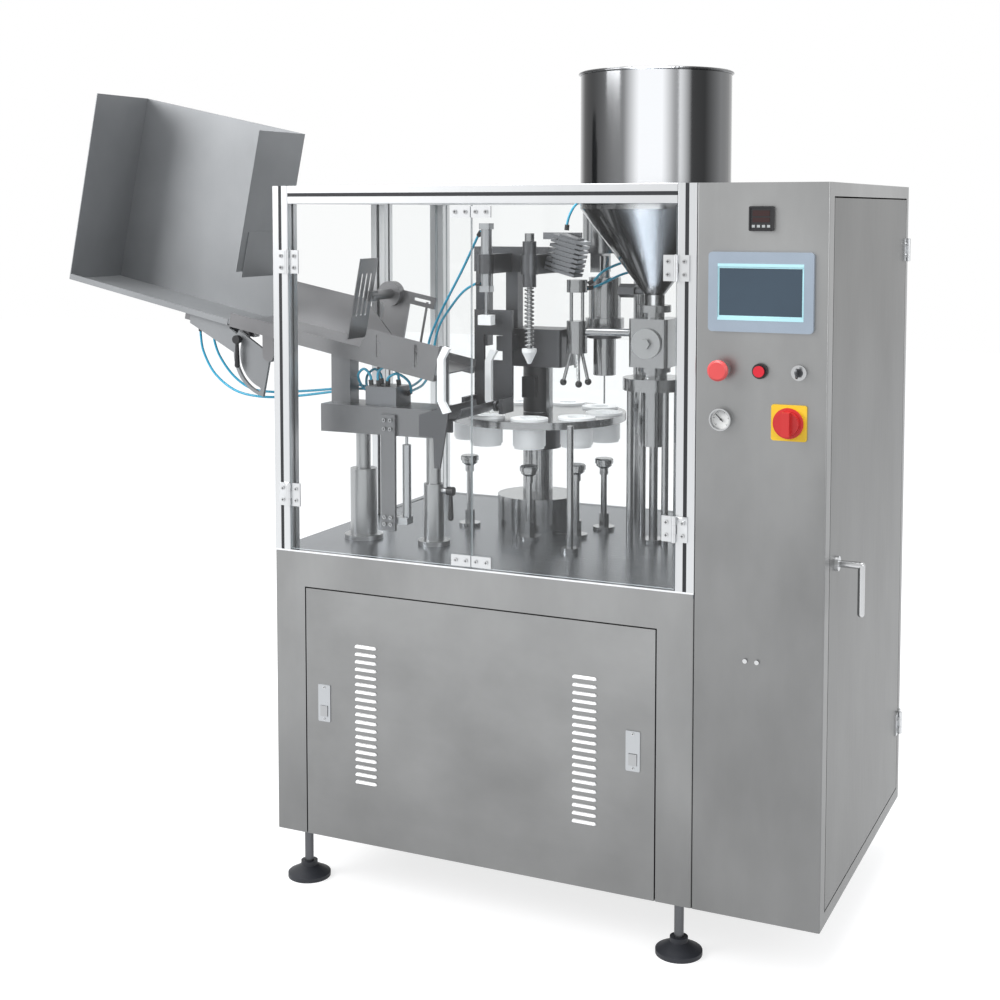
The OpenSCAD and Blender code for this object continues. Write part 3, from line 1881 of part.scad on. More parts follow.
module fill_nozzle() {
  tip_r = 6;
  rod_r = 4;
  lever_l = 76;
  lean = 15;
  away = [fill_x, fill_y] - fill;
  turn = atan2(away[1], away[0]);
  pipe_l = (away[0] - valve_w / 2 - air - pipe_r * abs(sin(turn))) / cos(turn);
  color("#cfd0d1")
    above(fill, 0) {
      translate([0, 0, nozzle_low])
        cylinder(h = nozzle_body_low - nozzle_low, r1 = tip_r, r2 = tip_r + rod_r);
      translate([0, 0, nozzle_body_low])
        cylinder(h = nozzle_body_h, r = nozzle_r);
      for (x = [-nozzle_gap, nozzle_gap])
        translate([x, 0, nozzle_body_low])
          cylinder(h = nozzle_body_h + nozzle_top_h, r = rod_r);
      translate([0, 0, nozzle_body_low + nozzle_body_h + nozzle_top_h])
        cylinder(h = nozzle_cap_h, r = nozzle_r);
      translate([0, 0, pipe_h])
        rotate([0, 90, turn])
          cylinder(h = pipe_l, r = pipe_r);
      for (side = [60:120:300])
        rotate(side)
          translate([nozzle_gap, 0, nozzle_body_low + rod_r])
            rotate([0, 180 - lean, 0]) {
              cylinder(h = lever_l, r = rod_r);
              translate([0, 0, lever_l])
                sphere(r = 2 * rod_r);
            }
    }
}

// Ring of a sanitary clamp round two ferrules, about its joint plane
module clamp_ring(outer, inner) {
  rotate_extrude()
    polygon([
      [inner + cut, -2 * clamp_lip], [outer, -2 * clamp_lip], [outer, 2 * clamp_lip],
      [inner + cut, 2 * clamp_lip], [inner + 2 * ferrule_t, ferrule_t + fit],
      [inner + 2 * ferrule_t, -ferrule_t - fit]
    ]);
}

module filling_pump() {
  foot_r = 30;
  color("#c4c6c8") {
    above([fill_x, fill_y], 0) {
      difference() {
        union() {
          translate([0, 0, valve_low])
            linear_extrude(valve_h)
              centred_outline(valve_w, valve_d, 10);
          translate([0, 0, valve_top])
            cylinder(h = joint_h - valve_top, r = neck_r);
          translate([0, 0, joint_h - ferrule_t])
            cylinder(h = ferrule_t, r = ferrule_r - 2);
          translate([0, 0, plate_top])
            cylinder(h = valve_low - plate_top, r = foot_r);
        }
        translate([0, 0, plate_top - cut])
          cylinder(h = joint_h - plate_top + 2 * cut, d = port_d);
        facing_front(0, valve_low + valve_h / 2, rotor_l - valve_d / 2)
          cylinder(h = rotor_l + cut, d = rotor_d + 2 * fit);
      }
      translate([0, 0, joint_h])
        clamp_ring(clamp_r, neck_r);
      translate([0, 0, pump_low])
        pipe(pump_h, pump_d / 2, piston_d / 2 + fit);
      difference() {
        translate([0, 0, cone_low + level_r / 2])
          rotate([0, -90, 0]) {
            cylinder(h = level_l, r = level_r / 2);
            translate([0, 0, level_l / 2 + level_r / 2])
              cylinder(h = level_l / 2, r = level_r, $fn = 6);
          }
        translate([0, 0, joint_h])
          cylinder(h = cone_h, r = neck_r + air);
        translate([0, 0, cone_low])
          cylinder(h = cone_h, r1 = neck_r + air, r2 = hopper_r + air);
      }
    }
    above([fill_x, fill_y], (plate_top + valve_low) / 2)
      pipe(3 * clamp_lip, clamp_r, foot_r + fit);
  }
}

module valve_rotor() {
  spud_r = 12;
  spud_l = 10;
  color("#d5d6d8")
    above([fill_x, fill_y], valve_low + valve_h / 2)
      difference() {
        union() {
          facing_front(0, 0, rotor_l - valve_d / 2 - air)
            cylinder(h = rotor_l - air, d = rotor_d);
          facing_front(0, 0, -valve_d / 2 - air)
            cylinder(h = rotor_disc_t, d = rotor_disc_d);
          facing_front(0, 0, -valve_d / 2)
            cylinder(h = 2 * air, d = rotor_d);
          facing_front(0, 0, -valve_d / 2 - rotor_disc_t)
            cylinder(h = spud_l, r = spud_r, $fn = 6);
        }
        translate([0, 0, -rotor_d])
          cylinder(h = 2 * rotor_d, d = port_d * 0.6);
      }
}

tie_places = [for (x = [-tie_pitch, tie_pitch], y = [-tie_pitch, tie_pitch]) [fill_x + x, fill_y + y]];

module filler_frame() {
  color("#babcbe") {
    above([fill_x, fill_y], plate_low)
      pipe(plate_t, plate_r, piston_d / 2 + fit);
    for (p = tie_places)
      above(p, 0)
        cylinder(h = plate_low - bar_gap, d = tie_d);
  }
}

module piston_rod() {
  color("#d2d3d4")
    above([fill_x, fill_y], 0) {
      translate([0, 0, piston_low])
        cylinder(h = piston_h, d = piston_d);
      translate([0, 0, -rod_tail])
        cylinder(h = rod_tail + piston_low, d = piston_rod_d);
    }
}

module hopper_cone() {
  color("#c7c9cb")
    above([fill_x, fill_y], 0)
      rotate_extrude()
        polygon([
          [neck_r - hopper_wall, joint_h], [ferrule_r - 2, joint_h],
          [ferrule_r - 2, joint_h + ferrule_t], [neck_r, joint_h + ferrule_t],
          [neck_r, cone_low], [hopper_r, hopper_low],
          [hopper_r - hopper_wall, hopper_low], [neck_r - hopper_wall, cone_low]
        ]);
}

module hopper_barrel() {
  color("#cfd1d3")
    above([fill_x, fill_y], hopper_low) {
      pipe(hopper_h, hopper_r, hopper_r - hopper_wall);
      translate([0, 0, hopper_h - rim_r])
        rotate_extrude()
          translate([hopper_r + rim_r / 2, 0])
            circle(r = rim_r / 2 + hopper_wall / 2);
    }
}

// Motor, reducer and indexing box under the table
module drive_unit() {
  motor_x = turn_x - index_box[0] / 2;
  box_low = -table_t - index_box[2];
  fin_count = 16;
  gear_y = turn_y + index_box[1] / 2 - gearbox[1] / 2;
  color("#5a6068") {
    above([turn_x - index_box[0] / 2, turn_y - index_box[1] / 2], box_low)
      difference() {
        cube(index_box);
        translate([index_box[0] / 2, index_box[1] / 2, index_box[2] - socket_deep])
          cylinder(h = socket_deep + cut, d = column_d + 2 * seam);
      }
    above([motor_x - gearbox[0], gear_y - gearbox[1] / 2], box_low)
      cube(gearbox);
    translate([motor_x - gearbox[0] / 2, gear_y, foot_h + sheet])
      cylinder(h = zt + box_low - foot_h - sheet, r = motor_r);
    translate([motor_x - gearbox[0] / 2, gear_y, foot_h + sheet])
      for (i = [0:fin_count - 1])
        rotate(i * 360 / fin_count)
          translate([motor_r - cut, -motor_fin / 2, 0])
            cube([2 * motor_fin + cut, motor_fin, motor_l]);
  }
}

module bin_hoses() {
  color("#2f9fd8") {
    hose(bin_hose_a);
    hose(bin_hose_b);
  }
}

module head_hoses() {
  color("#2f9fd8") {
    hose(press_hose_a);
    hose(press_hose_b);
    hose(nozzle_hose_a);
    hose(nozzle_hose_b);
    hose(actuator_hose);
  }
}

placed() {
  base_cabinet();
  table_plate();
  control_tower();
  foot_stems();
  foot_pads();
  frame_profiles();
  guard_panels();
  hinge_sets();
  table_bushes();
  centre_column();
  head_block();
  tube_chute();
  chute_fittings();
  platform_beam();
  platform_columns();
  air_cylinders();
  tube_guides();
  loader_frame();
  heat_seal_units();
  fill_nozzle();
  filling_pump();
  filler_frame();
  hopper_barrel();
  hopper_cone();
  hmi_panel();
  panel_instruments();
  switch_plate();
  electrical_modules();
  drive_unit();
  turntable_disc();
  turntable_hub();
  tube_cups();
  left_door();
  left_door_fittings();
  right_door();
  right_door_fittings();
  access_panel();
  left_latch();
  right_latch();
  tower_door();
  tower_door_fittings();
  tower_handle();
  estop_button();
  start_button();
  key_switch();
  switch_knob();
  gauge_needle();
  press_rod();
  cone_spindle();
  spindle_spring();
  valve_rotor();
  piston_rod();
  lifter_front();
  lifter_side();
  tube_cradle();
  tube_bin();
  bin_lever();
  column_lever();
  bin_hoses();
  head_hoses();
}
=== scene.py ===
# %% [markdown]
# # A rotary tube filling machine
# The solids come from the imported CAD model, which is loaded first and stays fixed.
# Blender adds the finishes, the air hoses, the fasteners and the faces of the instruments.

# %% Load the frame
import math

import bmesh
import bpy
from mathutils import Matrix, Vector


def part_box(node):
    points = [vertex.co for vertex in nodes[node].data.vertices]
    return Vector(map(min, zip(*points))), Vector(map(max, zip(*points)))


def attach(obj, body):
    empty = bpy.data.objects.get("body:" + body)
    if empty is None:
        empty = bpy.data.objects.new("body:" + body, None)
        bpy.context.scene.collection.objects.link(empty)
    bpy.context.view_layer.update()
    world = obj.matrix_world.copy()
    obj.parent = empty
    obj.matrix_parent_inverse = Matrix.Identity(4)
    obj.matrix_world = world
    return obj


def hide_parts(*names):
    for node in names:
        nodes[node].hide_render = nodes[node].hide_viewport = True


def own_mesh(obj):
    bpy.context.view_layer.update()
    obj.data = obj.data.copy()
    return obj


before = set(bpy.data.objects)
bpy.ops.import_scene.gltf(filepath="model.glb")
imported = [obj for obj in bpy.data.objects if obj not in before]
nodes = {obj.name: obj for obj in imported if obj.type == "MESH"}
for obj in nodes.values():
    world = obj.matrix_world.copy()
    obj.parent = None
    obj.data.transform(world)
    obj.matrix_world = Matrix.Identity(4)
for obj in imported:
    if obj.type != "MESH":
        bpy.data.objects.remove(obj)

scene = bpy.context.scene
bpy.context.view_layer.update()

# %% [markdown]
# ## Where things are
# The cabinet's front left corner on the floor is the point that the maker measures from.
# Every place below is given in millimetres from there, so a drawing can be followed line by line.

# %% Measuring from the cabinet's corner
cabinet_low, cabinet_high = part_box("base_cabinet")
table_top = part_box("table_plate")[1][2] * 1000
tower_low, tower_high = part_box("control_tower")


def at(x, y, z):
    """Point in the row frame, in metres, from millimetres off the cabinet's corner."""
    return Vector((cabinet_low[0] + x / 1000, cabinet_low[1] + y / 1000, z / 1000))


tower_left = (tower_low[0] - cabinet_low[0]) * 1000
tower_right = (tower_high[0] - cabinet_low[0]) * 1000
tower_middle = (tower_left + tower_right) / 2
tower_top = tower_high[2] * 1000
cabinet_w = (cabinet_high[0] - cabinet_low[0]) * 1000
cabinet_d = (cabinet_high[1] - cabinet_low[1]) * 1000
print("table top", round(table_top), "tower from", round(tower_left), "to", round(tower_right))

# %% [markdown]
# ## The camera
# The photograph was taken from the height of the guard frame's top and then cropped, so its upright
# lines are nearly parallel. A camera that looks down a little, with a lens shift for the rest, gives
# the same picture. With the tilt alone, the posts would lean together.

# %% Camera with a small tilt and a lens shift
camera_data = bpy.data.cameras.new("photo_camera")
camera = bpy.data.objects.new("photo_camera", camera_data)
scene.collection.objects.link(camera)
camera.location = at(1935.1, -2931.8, 1538.1)
camera.rotation_euler = (math.radians(90 - 4), 0, math.radians(25.11))
camera_data.sensor_width = 36
camera_data.lens = 55.98
camera_data.shift_y = -0.181
scene.camera = camera
print("camera at", [round(c, 3) for c in camera.location])

# %% [markdown]
# ## Moulded and painted finishes
# Plastic, rubber and paint come out of a mould or a spray gun with a fine grain and slightly uneven
# colour. One function gives them all three: a broad noise for the colour, and a fine noise for the
# gloss and for a very low relief. Each finish is then one line that can be compared with the photograph.

# %% A bare shader, and the grain on it
noise_low, noise_high = 0.25, 0.75  # noise seldom leaves this range


def bare(name, colour, gloss, metallic=0.0, **sockets):
    """A Principled finish. gloss is the roughness, and sockets holds other inputs by name."""
    material = bpy.data.materials.new(name)
    material.use_nodes = True
    shader = material.node_tree.nodes["Principled BSDF"]
    shader.inputs["Base Color"].default_value = (*colour, 1)
    shader.inputs["Roughness"].default_value = gloss
    shader.inputs["Metallic"].default_value = metallic
    for socket, value in sockets.items():
        shader.inputs[socket.replace("_", " ")].default_value = value
    return material


def noise_range(tree, scale, low, high, detail=2):
    """Noise on the object's coordinates, brought to a range. Returns the noise and the range socket."""
    place = tree.nodes.new("ShaderNodeTexCoord")
    noise = tree.nodes.new("ShaderNodeTexNoise")
    noise.inputs["Scale"].default_value = scale
    noise.inputs["Detail"].default_value = detail
    span = tree.nodes.new("ShaderNodeMapRange")
    span.inputs["From Min"].default_value = noise_low
    span.inputs["From Max"].default_value = noise_high
    span.inputs["To Min"].default_value = low
    span.inputs["To Max"].default_value = high
    tree.links.new(place.outputs["Object"], noise.inputs["Vector"])
    tree.links.new(noise.outputs["Fac"], span.inputs["Value"])
    return noise.outputs["Fac"], span.outputs["Result"]


def plain(name, colour, gloss, metallic=0.0, grain=700, relief=0.12, uneven=0.05, **sockets):
    """Moulded finish: grain is the fine noise's scale, and uneven is how much the colour varies."""
    material = bare(name, colour, gloss, metallic, **sockets)
    tree = material.node_tree
    shader = tree.nodes["Principled BSDF"]
    _, tone = noise_range(tree, 16, 1 - uneven, 1 + uneven)
    tint = tree.nodes.new("ShaderNodeVectorMath")
    tint.operation = "SCALE"
    tint.inputs[0].default_value = colour
    tree.links.new(tone, tint.inputs["Scale"])
    tree.links.new(tint.outputs["Vector"], shader.inputs["Base Color"])
    height, rough = noise_range(tree, grain, max(gloss - 0.05, 0.02), gloss + 0.05)
    tree.links.new(rough, shader.inputs["Roughness"])
    bump = tree.nodes.new("ShaderNodeBump")
    bump.inputs["Strength"].default_value = relief
    bump.inputs["Distance"].default_value = 0.0001
    tree.links.new(height, bump.inputs["Height"])
    tree.links.new(bump.outputs["Normal"], shader.inputs["Normal"])
    return material


# %% [markdown]
# The cups and guides are white plastic that lets some light through, so they look bright in the shade
# of the disc. A weak glow, which is painted light, stands for that.

# %% Plastics, rubber and paint
# Painted light: the emission makes the white plastic glow.
white_plastic = plain("white_plastic", (0.92, 0.93, 0.93), 0.32, Emission_Color=(0.9, 0.93, 0.96, 1),
                      Emission_Strength=0.17)
black_plastic = plain("black_plastic", (0.012, 0.012, 0.014), 0.38)
pad_rubber = plain("pad_rubber", (0.018, 0.02, 0.026), 0.55, grain=350, relief=0.3, uneven=0.2)
bezel_plastic = plain("bezel_plastic", (0.33, 0.39, 0.46), 0.3)
stop_red = plain("stop_red", (0.74, 0.085, 0.085), 0.32)
button_red = plain("button_red", (0.68, 0.012, 0.03), 0.2)
switch_red = plain("switch_red", (0.62, 0.03, 0.03), 0.35)
switch_yellow = plain("switch_yellow", (0.88, 0.58, 0.03), 0.38)
hose_blue = plain("hose_blue", (0.035, 0.41, 0.62), 0.22)
# Black for the real slot strips and the gauge marks, and painted shade in the screw heads' cross recesses.
dark_slot_and_recess_shade = plain("dark_slot_and_recess_shade", (0.008, 0.009, 0.012), 0.6)
drive_paint = plain("drive_paint", (0.1, 0.13, 0.17), 0.45, grain=250, relief=0.3, uneven=0.12)
module_plastic = plain("module_plastic", (0.42, 0.44, 0.44), 0.5)
dial_white = plain("dial_white", (0.88, 0.88, 0.86), 0.4)
cyan_line = plain("cyan_line", (0.5, 0.82, 0.88), 0.35)
# Painted highlight: the louvre hoods of the steel panel are made bright white where they catch the light.
louvre_painted_highlight = plain("louvre_painted_highlight", (0.93, 0.93, 0.93), 0.35, 0.4)
screen_glass = plain("screen_glass", (0.042, 0.07, 0.1), 0.12)
display_dark = plain("display_dark", (0.03, 0.008, 0.008), 0.15)
print("plain finishes", len(bpy.data.materials))

# %% [markdown]
# ## Ground and brushed metal
# Stainless sheet is ground in one direction, so its reflections are drawn out across the grain.
# Long thin noise on the object's own coordinates drives both the roughness and a very low bump.
# A second, broad noise makes the soft clouds that a large sheet always shows. A room is darker near
# its floor and steel mirrors that, but no room is built here, so the large sheets get a painted
# reflected shade: their tone is darker towards the floor.

# %% Brushed steel


def ground_metal(name, colour, gloss, grain, cloud=0.06, bump=0.1, spread=0.12, patch=(2.2, 2.2, 2.2),
                 metallic=1.0, rise=None):
    """Metal with its grain drawn out. grain scales the noise on x, y and z: small is along the grain.

    cloud, bump and spread say how far tone, relief and gloss vary. patch scales the broad noise as grain
    does the fine one. rise holds two heights in metres and the tones at them: a painted shade by height."""
    material = bare(name, colour, gloss, metallic)
    tree = material.node_tree
    shader = tree.nodes["Principled BSDF"]
    place = tree.nodes.new("ShaderNodeTexCoord")
    stretch = tree.nodes.new("ShaderNodeMapping")
    stretch.inputs["Scale"].default_value = grain
    fine = tree.nodes.new("ShaderNodeTexNoise")
    fine.inputs["Scale"].default_value = 1
    fine.inputs["Detail"].default_value = 4
    cloudy = tree.nodes.new("ShaderNodeMapping")
    cloudy.inputs["Scale"].default_value = patch
    broad = tree.nodes.new("ShaderNodeTexNoise")
    broad.inputs["Scale"].default_value = 1
    broad.inputs["Detail"].default_value = 5
    gloss_range = tree.nodes.new("ShaderNodeMapRange")
    gloss_range.inputs["To Min"].default_value = gloss - spread / 2
    gloss_range.inputs["To Max"].default_value = gloss + spread / 2
    tone_range = tree.nodes.new("ShaderNodeMapRange")
    tone_range.inputs["From Min"].default_value = noise_low
    tone_range.inputs["From Max"].default_value = noise_high
    tone_range.inputs["To Min"].default_value = 1 - cloud
    tone_range.inputs["To Max"].default_value = 1 + cloud
    tint = tree.nodes.new("ShaderNodeVectorMath")
    tint.operation = "SCALE"
    tint.inputs[0].default_value = colour
    relief = tree.nodes.new("ShaderNodeBump")
    relief.inputs["Strength"].default_value = bump
    relief.inputs["Distance"].default_value = 0.0002
    links = tree.links
    links.new(place.outputs["Object"], stretch.inputs["Vector"])
    links.new(stretch.outputs["Vector"], fine.inputs["Vector"])
    links.new(place.outputs["Object"], cloudy.inputs["Vector"])
    links.new(cloudy.outputs["Vector"], broad.inputs["Vector"])
    links.new(fine.outputs["Fac"], gloss_range.inputs["Value"])
    links.new(gloss_range.outputs["Result"], shader.inputs["Roughness"])
    links.new(broad.outputs["Fac"], tone_range.inputs["Value"])
    links.new(tone_range.outputs["Result"], tint.inputs["Scale"])
    links.new(tint.outputs["Vector"], shader.inputs["Base Color"])
    links.new(fine.outputs["Fac"], relief.inputs["Height"])
    links.new(relief.outputs["Normal"], shader.inputs["Normal"])
    # Painted shade: the tone is scaled by height, darker towards the floor.
    if rise:
        split = tree.nodes.new("ShaderNodeSeparateXYZ")
        floor_shade_ramp = tree.nodes.new("ShaderNodeMapRange")
        for socket, value in zip(("From Min", "From Max", "To Min", "To Max"), rise):
            floor_shade_ramp.inputs[socket].default_value = value
        whole = tree.nodes.new("ShaderNodeMath")
        whole.operation = "MULTIPLY"
        links.new(place.outputs["Object"], split.inputs["Vector"])
        links.new(split.outputs["Z"], floor_shade_ramp.inputs["Value"])
        links.new(tone_range.outputs["Result"], whole.inputs[0])
        links.new(floor_shade_ramp.outputs["Result"], whole.inputs[1])
        links.new(whole.outputs["Value"], tint.inputs["Scale"])
    return material


# %% Steel and aluminium
along_x, along_z, all_round = (8, 900, 900), (900, 900, 8), (300, 300, 300)
# The cabinet, panel and tower sheets carry a painted shade by height, darker towards the floor.
cabinet_steel = ground_metal("cabinet_steel", (0.3, 0.303, 0.303), 0.36, along_z, cloud=0.15, patch=(6, 6, 3),
                             rise=(0.2, 0.75, 0.67, 0.95))
panel_steel = ground_metal("panel_steel", (0.3, 0.303, 0.303), 0.36, along_x, cloud=0.16, patch=(4, 4, 5),
                           rise=(0.2, 0.7, 0.66, 0.95))
tower_steel = ground_metal("tower_steel", (0.3, 0.303, 0.303), 0.36, along_z, cloud=0.15, patch=(6, 6, 3),
                           rise=(0.4, 1.7, 0.66, 1.15))
# Painted shade: the tower's side door is the tower steel at about half the tone.
door_steel_painted_shade = ground_metal("door_steel_painted_shade", (0.155, 0.157, 0.156), 0.36, along_z, cloud=0.15, patch=(6, 6, 3))
bin_steel = ground_metal("bin_steel", (0.24, 0.248, 0.256), 0.48, along_z, cloud=0.12, patch=(5, 5, 4),
                         metallic=0.5)
chute_steel = ground_metal("chute_steel", (0.21, 0.21, 0.216), 0.33, along_x, cloud=0.14, patch=(7, 7, 7))
table_steel = ground_metal("table_steel", (0.18, 0.195, 0.215), 0.27, along_x, cloud=0.09, bump=0.005,
                           spread=0.02, patch=(5, 5, 5))
turned_steel = ground_metal("turned_steel", (0.36, 0.367, 0.374), 0.18, all_round, cloud=0.03, bump=0.02,
                            spread=0.05)
profile_aluminium = ground_metal("profile_aluminium", (0.6, 0.611, 0.622), 0.34, along_z, cloud=0.02)
anodised_aluminium = ground_metal("anodised_aluminium", (0.42, 0.434, 0.449), 0.3, all_round, cloud=0.03)
dark_casting = ground_metal("dark_casting", (0.11, 0.113, 0.12), 0.38, all_round, cloud=0.12)
satin_steel = ground_metal("satin_steel", (0.37, 0.377, 0.384), 0.34, all_round, cloud=0.04, spread=0.06)
beam_steel = ground_metal("beam_steel", (0.19, 0.193, 0.2), 0.36, along_x, cloud=0.08)
dark_anodised = ground_metal("dark_anodised", (0.2, 0.207, 0.22), 0.3, all_round, cloud=0.04)
bright_steel = ground_metal("bright_steel", (0.52, 0.527, 0.534), 0.17, all_round, cloud=0.05, bump=0.02,
                            spread=0.05)
print("metal finishes ready")

# %% [markdown]
# ## Polished steel on the hopper
# A polished barrel mirrors the room as upright dark and light bands. A real room isn't built here, so
# the bands are painted reflections laid round the hopper's axis: the angle about the axis is looked up in a
# colour ramp.

# %% Painted reflection bands round an axis


def painted_reflection_metal(name, centre, bands):
    """Polished metal with upright bands of painted reflection. bands holds (degrees about the axis, tone) in
    rising order.
    """
    material = ground_metal(name, (0.95, 0.96, 0.97), 0.13, along_z, cloud=0.02, bump=0.02, spread=0.05)
    tree = material.node_tree
    links = tree.links
    place = tree.nodes.new("ShaderNodeTexCoord")
    shift = tree.nodes.new("ShaderNodeVectorMath")
    shift.operation = "SUBTRACT"
    shift.inputs[1].default_value = centre
    split = tree.nodes.new("ShaderNodeSeparateXYZ")
    angle = tree.nodes.new("ShaderNodeMath")
    angle.operation = "ARCTAN2"
    share = tree.nodes.new("ShaderNodeMapRange")
    share.inputs["From Min"].default_value = -math.pi
    share.inputs["From Max"].default_value = math.pi
    reflection_ramp = tree.nodes.new("ShaderNodeValToRGB")
    stops = reflection_ramp.color_ramp.elements
    while len(stops) < len(bands):
        stops.new(0.5)
    for stop, (degrees, tone) in zip(stops, bands):
        stop.position = (degrees + 180) / 360
        stop.color = (tone, tone * 1.01, tone * 1.03, 1)
    blend = tree.nodes.new("ShaderNodeVectorMath")
    blend.operation = "MULTIPLY"
    colour = tree.nodes["Principled BSDF"].inputs["Base Color"]
    links.new(place.outputs["Object"], shift.inputs[0])
    links.new(shift.outputs["Vector"], split.inputs["Vector"])
    links.new(split.outputs["Y"], angle.inputs[0])
    links.new(split.outputs["X"], angle.inputs[1])
    links.new(angle.outputs["Value"], share.inputs["Value"])
    links.new(share.outputs["Result"], reflection_ramp.inputs["Fac"])
    links.new(colour.links[0].from_socket, blend.inputs[0])
    links.new(reflection_ramp.outputs["Color"], blend.inputs[1])
    links.new(blend.outputs["Vector"], colour)
    return material


barrel_low, barrel_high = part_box("hopper_barrel")
hopper_axis = ((barrel_low[0] + barrel_high[0]) / 2, (barrel_low[1] + barrel_high[1]) / 2, 0)
# Painted reflections: each tone is a band of the room mirrored at that angle round the hopper.
hopper_steel_painted_reflections = painted_reflection_metal("hopper_steel_painted_reflections", hopper_axis, (
    (-180, 0.4), (-154, 0.3), (-138, 0.015), (-124, 0.06), (-95, 0.21), (-83, 1.0), (-66, 1.0), (-57, 0.35),
    (-44, 0.05), (-32, 0.04), (-14, 0.18), (10, 0.1), (40, 0.5), (70, 0.12), (100, 0.8), (130, 0.15),
    (180, 0.4)))
print("hopper axis", [round(c, 3) for c in hopper_axis])

# %% [markdown]
# ## Clear acrylic
# The doors are clear sheet. Seen square on they are almost invisible, and only their cut edges look
# solid. A transparent shader with a weak mirror on top keeps the view undistorted, and the faces
# whose normal isn't across the sheet are made milky.

# %% Clear sheet with milky edges


def clear_sheet(name, across):
    """Acrylic whose thin direction is across: 0 for x, 1 for y."""
    material = bpy.data.materials.new(name)
    material.use_nodes = True
    tree = material.node_tree
    tree.nodes.remove(tree.nodes["Principled BSDF"])
    out = tree.nodes["Material Output"]
    place = tree.nodes.new("ShaderNodeTexCoord")
    split = tree.nodes.new("ShaderNodeSeparateXYZ")
    size = tree.nodes.new("ShaderNodeMath")
    size.operation = "ABSOLUTE"
    face = tree.nodes.new("ShaderNodeMath")
    face.operation = "GREATER_THAN"
    face.inputs[1].default_value = 0.7
    through = tree.nodes.new("ShaderNodeBsdfTransparent")
    through.inputs["Color"].default_value = (0.985, 0.99, 0.99, 1)
    shine = tree.nodes.new("ShaderNodeBsdfGlossy")
    shine.inputs["Roughness"].default_value = 0.02
    pane = tree.nodes.new("ShaderNodeMixShader")
    pane.inputs["Fac"].default_value = 0.022
    edge = tree.nodes.new("ShaderNodeBsdfPrincipled")
    edge.inputs["Base Color"].default_value = (0.55, 0.6, 0.62, 1)
    edge.inputs["Roughness"].default_value = 0.2
    edge.inputs["Alpha"].default_value = 0.7
    whole = tree.nodes.new("ShaderNodeMixShader")
    links = tree.links
    links.new(place.outputs["Normal"], split.inputs["Vector"])
    links.new(split.outputs["XYZ"[across]], size.inputs[0])
    links.new(size.outputs["Value"], face.inputs[0])
    links.new(through.outputs["BSDF"], pane.inputs[1])
    links.new(shine.outputs["BSDF"], pane.inputs[2])
    links.new(face.outputs["Value"], whole.inputs["Fac"])
    links.new(edge.outputs["BSDF"], whole.inputs[1])
    links.new(pane.outputs["Shader"], whole.inputs[2])
    links.new(whole.outputs["Shader"], out.inputs["Surface"])
    return material


front_acrylic = clear_sheet("front_acrylic", 1)
side_acrylic = clear_sheet("side_acrylic", 0)
print("acrylic ready")

# %% [markdown]
# ## A finish for every CAD node
# Each solid gets its finish by name. Curved faces are shaded smooth and the edges sharper than
# thirty degrees stay crisp.

# %% Finishes by node
finish_of = {
    cabinet_steel: "base_cabinet",
    tower_steel: "control_tower",
    door_steel_painted_shade: "tower_door",
    panel_steel: "access_panel",
    bin_steel: "tube_bin",
    chute_steel: "tube_chute chute_fittings",
    table_steel: "table_plate",
    hopper_steel_painted_reflections: "hopper_barrel hopper_cone",
    turned_steel: "table_bushes centre_column filler_frame piston_rod lifter_front "
    "lifter_side cone_spindle heat_seal_units fill_nozzle filling_pump turntable_disc",
    satin_steel: "platform_columns left_latch right_latch valve_rotor",
    beam_steel: "platform_beam",
    profile_aluminium: "frame_profiles hinge_sets left_door_fittings right_door_fittings tower_door_fittings",
    front_acrylic: "left_door right_door guard_panels",
    bright_steel: "tower_handle",
    dark_casting: "head_block loader_frame tube_cradle turntable_hub spindle_spring foot_stems key_switch",
    anodised_aluminium: "air_cylinders press_rod",
    white_plastic: "tube_cups tube_guides",
    black_plastic: "panel_instruments bin_lever column_lever gauge_needle",
    pad_rubber: "foot_pads",
    bezel_plastic: "hmi_panel",
    stop_red: "estop_button",
    button_red: "start_button",
    switch_red: "switch_knob",
    switch_yellow: "switch_plate",
    drive_paint: "drive_unit",
    module_plastic: "electrical_modules",
    hose_blue: "bin_hoses head_hoses",
}
dressed = 0
for material, names in finish_of.items():
    for name in names.split():
        mesh = nodes[name].data
        mesh.materials.clear()
        mesh.materials.append(material)
        mesh.shade_smooth()
        mesh.set_sharp_from_angle(angle=math.radians(30))
        dressed += 1
print("nodes with a finish", dressed, "of", len(nodes))

# %% [markdown]
# Some nodes hold two materials on the real machine, such as the steel spindle with its white cone.
# The faces are picked by where they are, so the solids stay as they were made.

# %% Second finishes, picked by place


def paint(name, material, wanted):
    """Gives material to the faces of a node whose centre, in millimetres, passes the test."""
    mesh = nodes[name].data
    index = len(mesh.materials)
    mesh.materials.append(material)
    count = 0
    for face in mesh.polygons:
        c = face.center
        if wanted((c.x - cabinet_low[0]) * 1000, (c.y - cabinet_low[1]) * 1000, c.z * 1000):
            face.material_index = index
            count += 1
    return count


hub_low, hub_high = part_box("turntable_hub")
hub_y = ((hub_low[1] + hub_high[1]) / 2 - cabinet_low[1]) * 1000
spindle_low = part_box("cone_spindle")[0][2] * 1000
press_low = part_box("press_rod")[0][2] * 1000
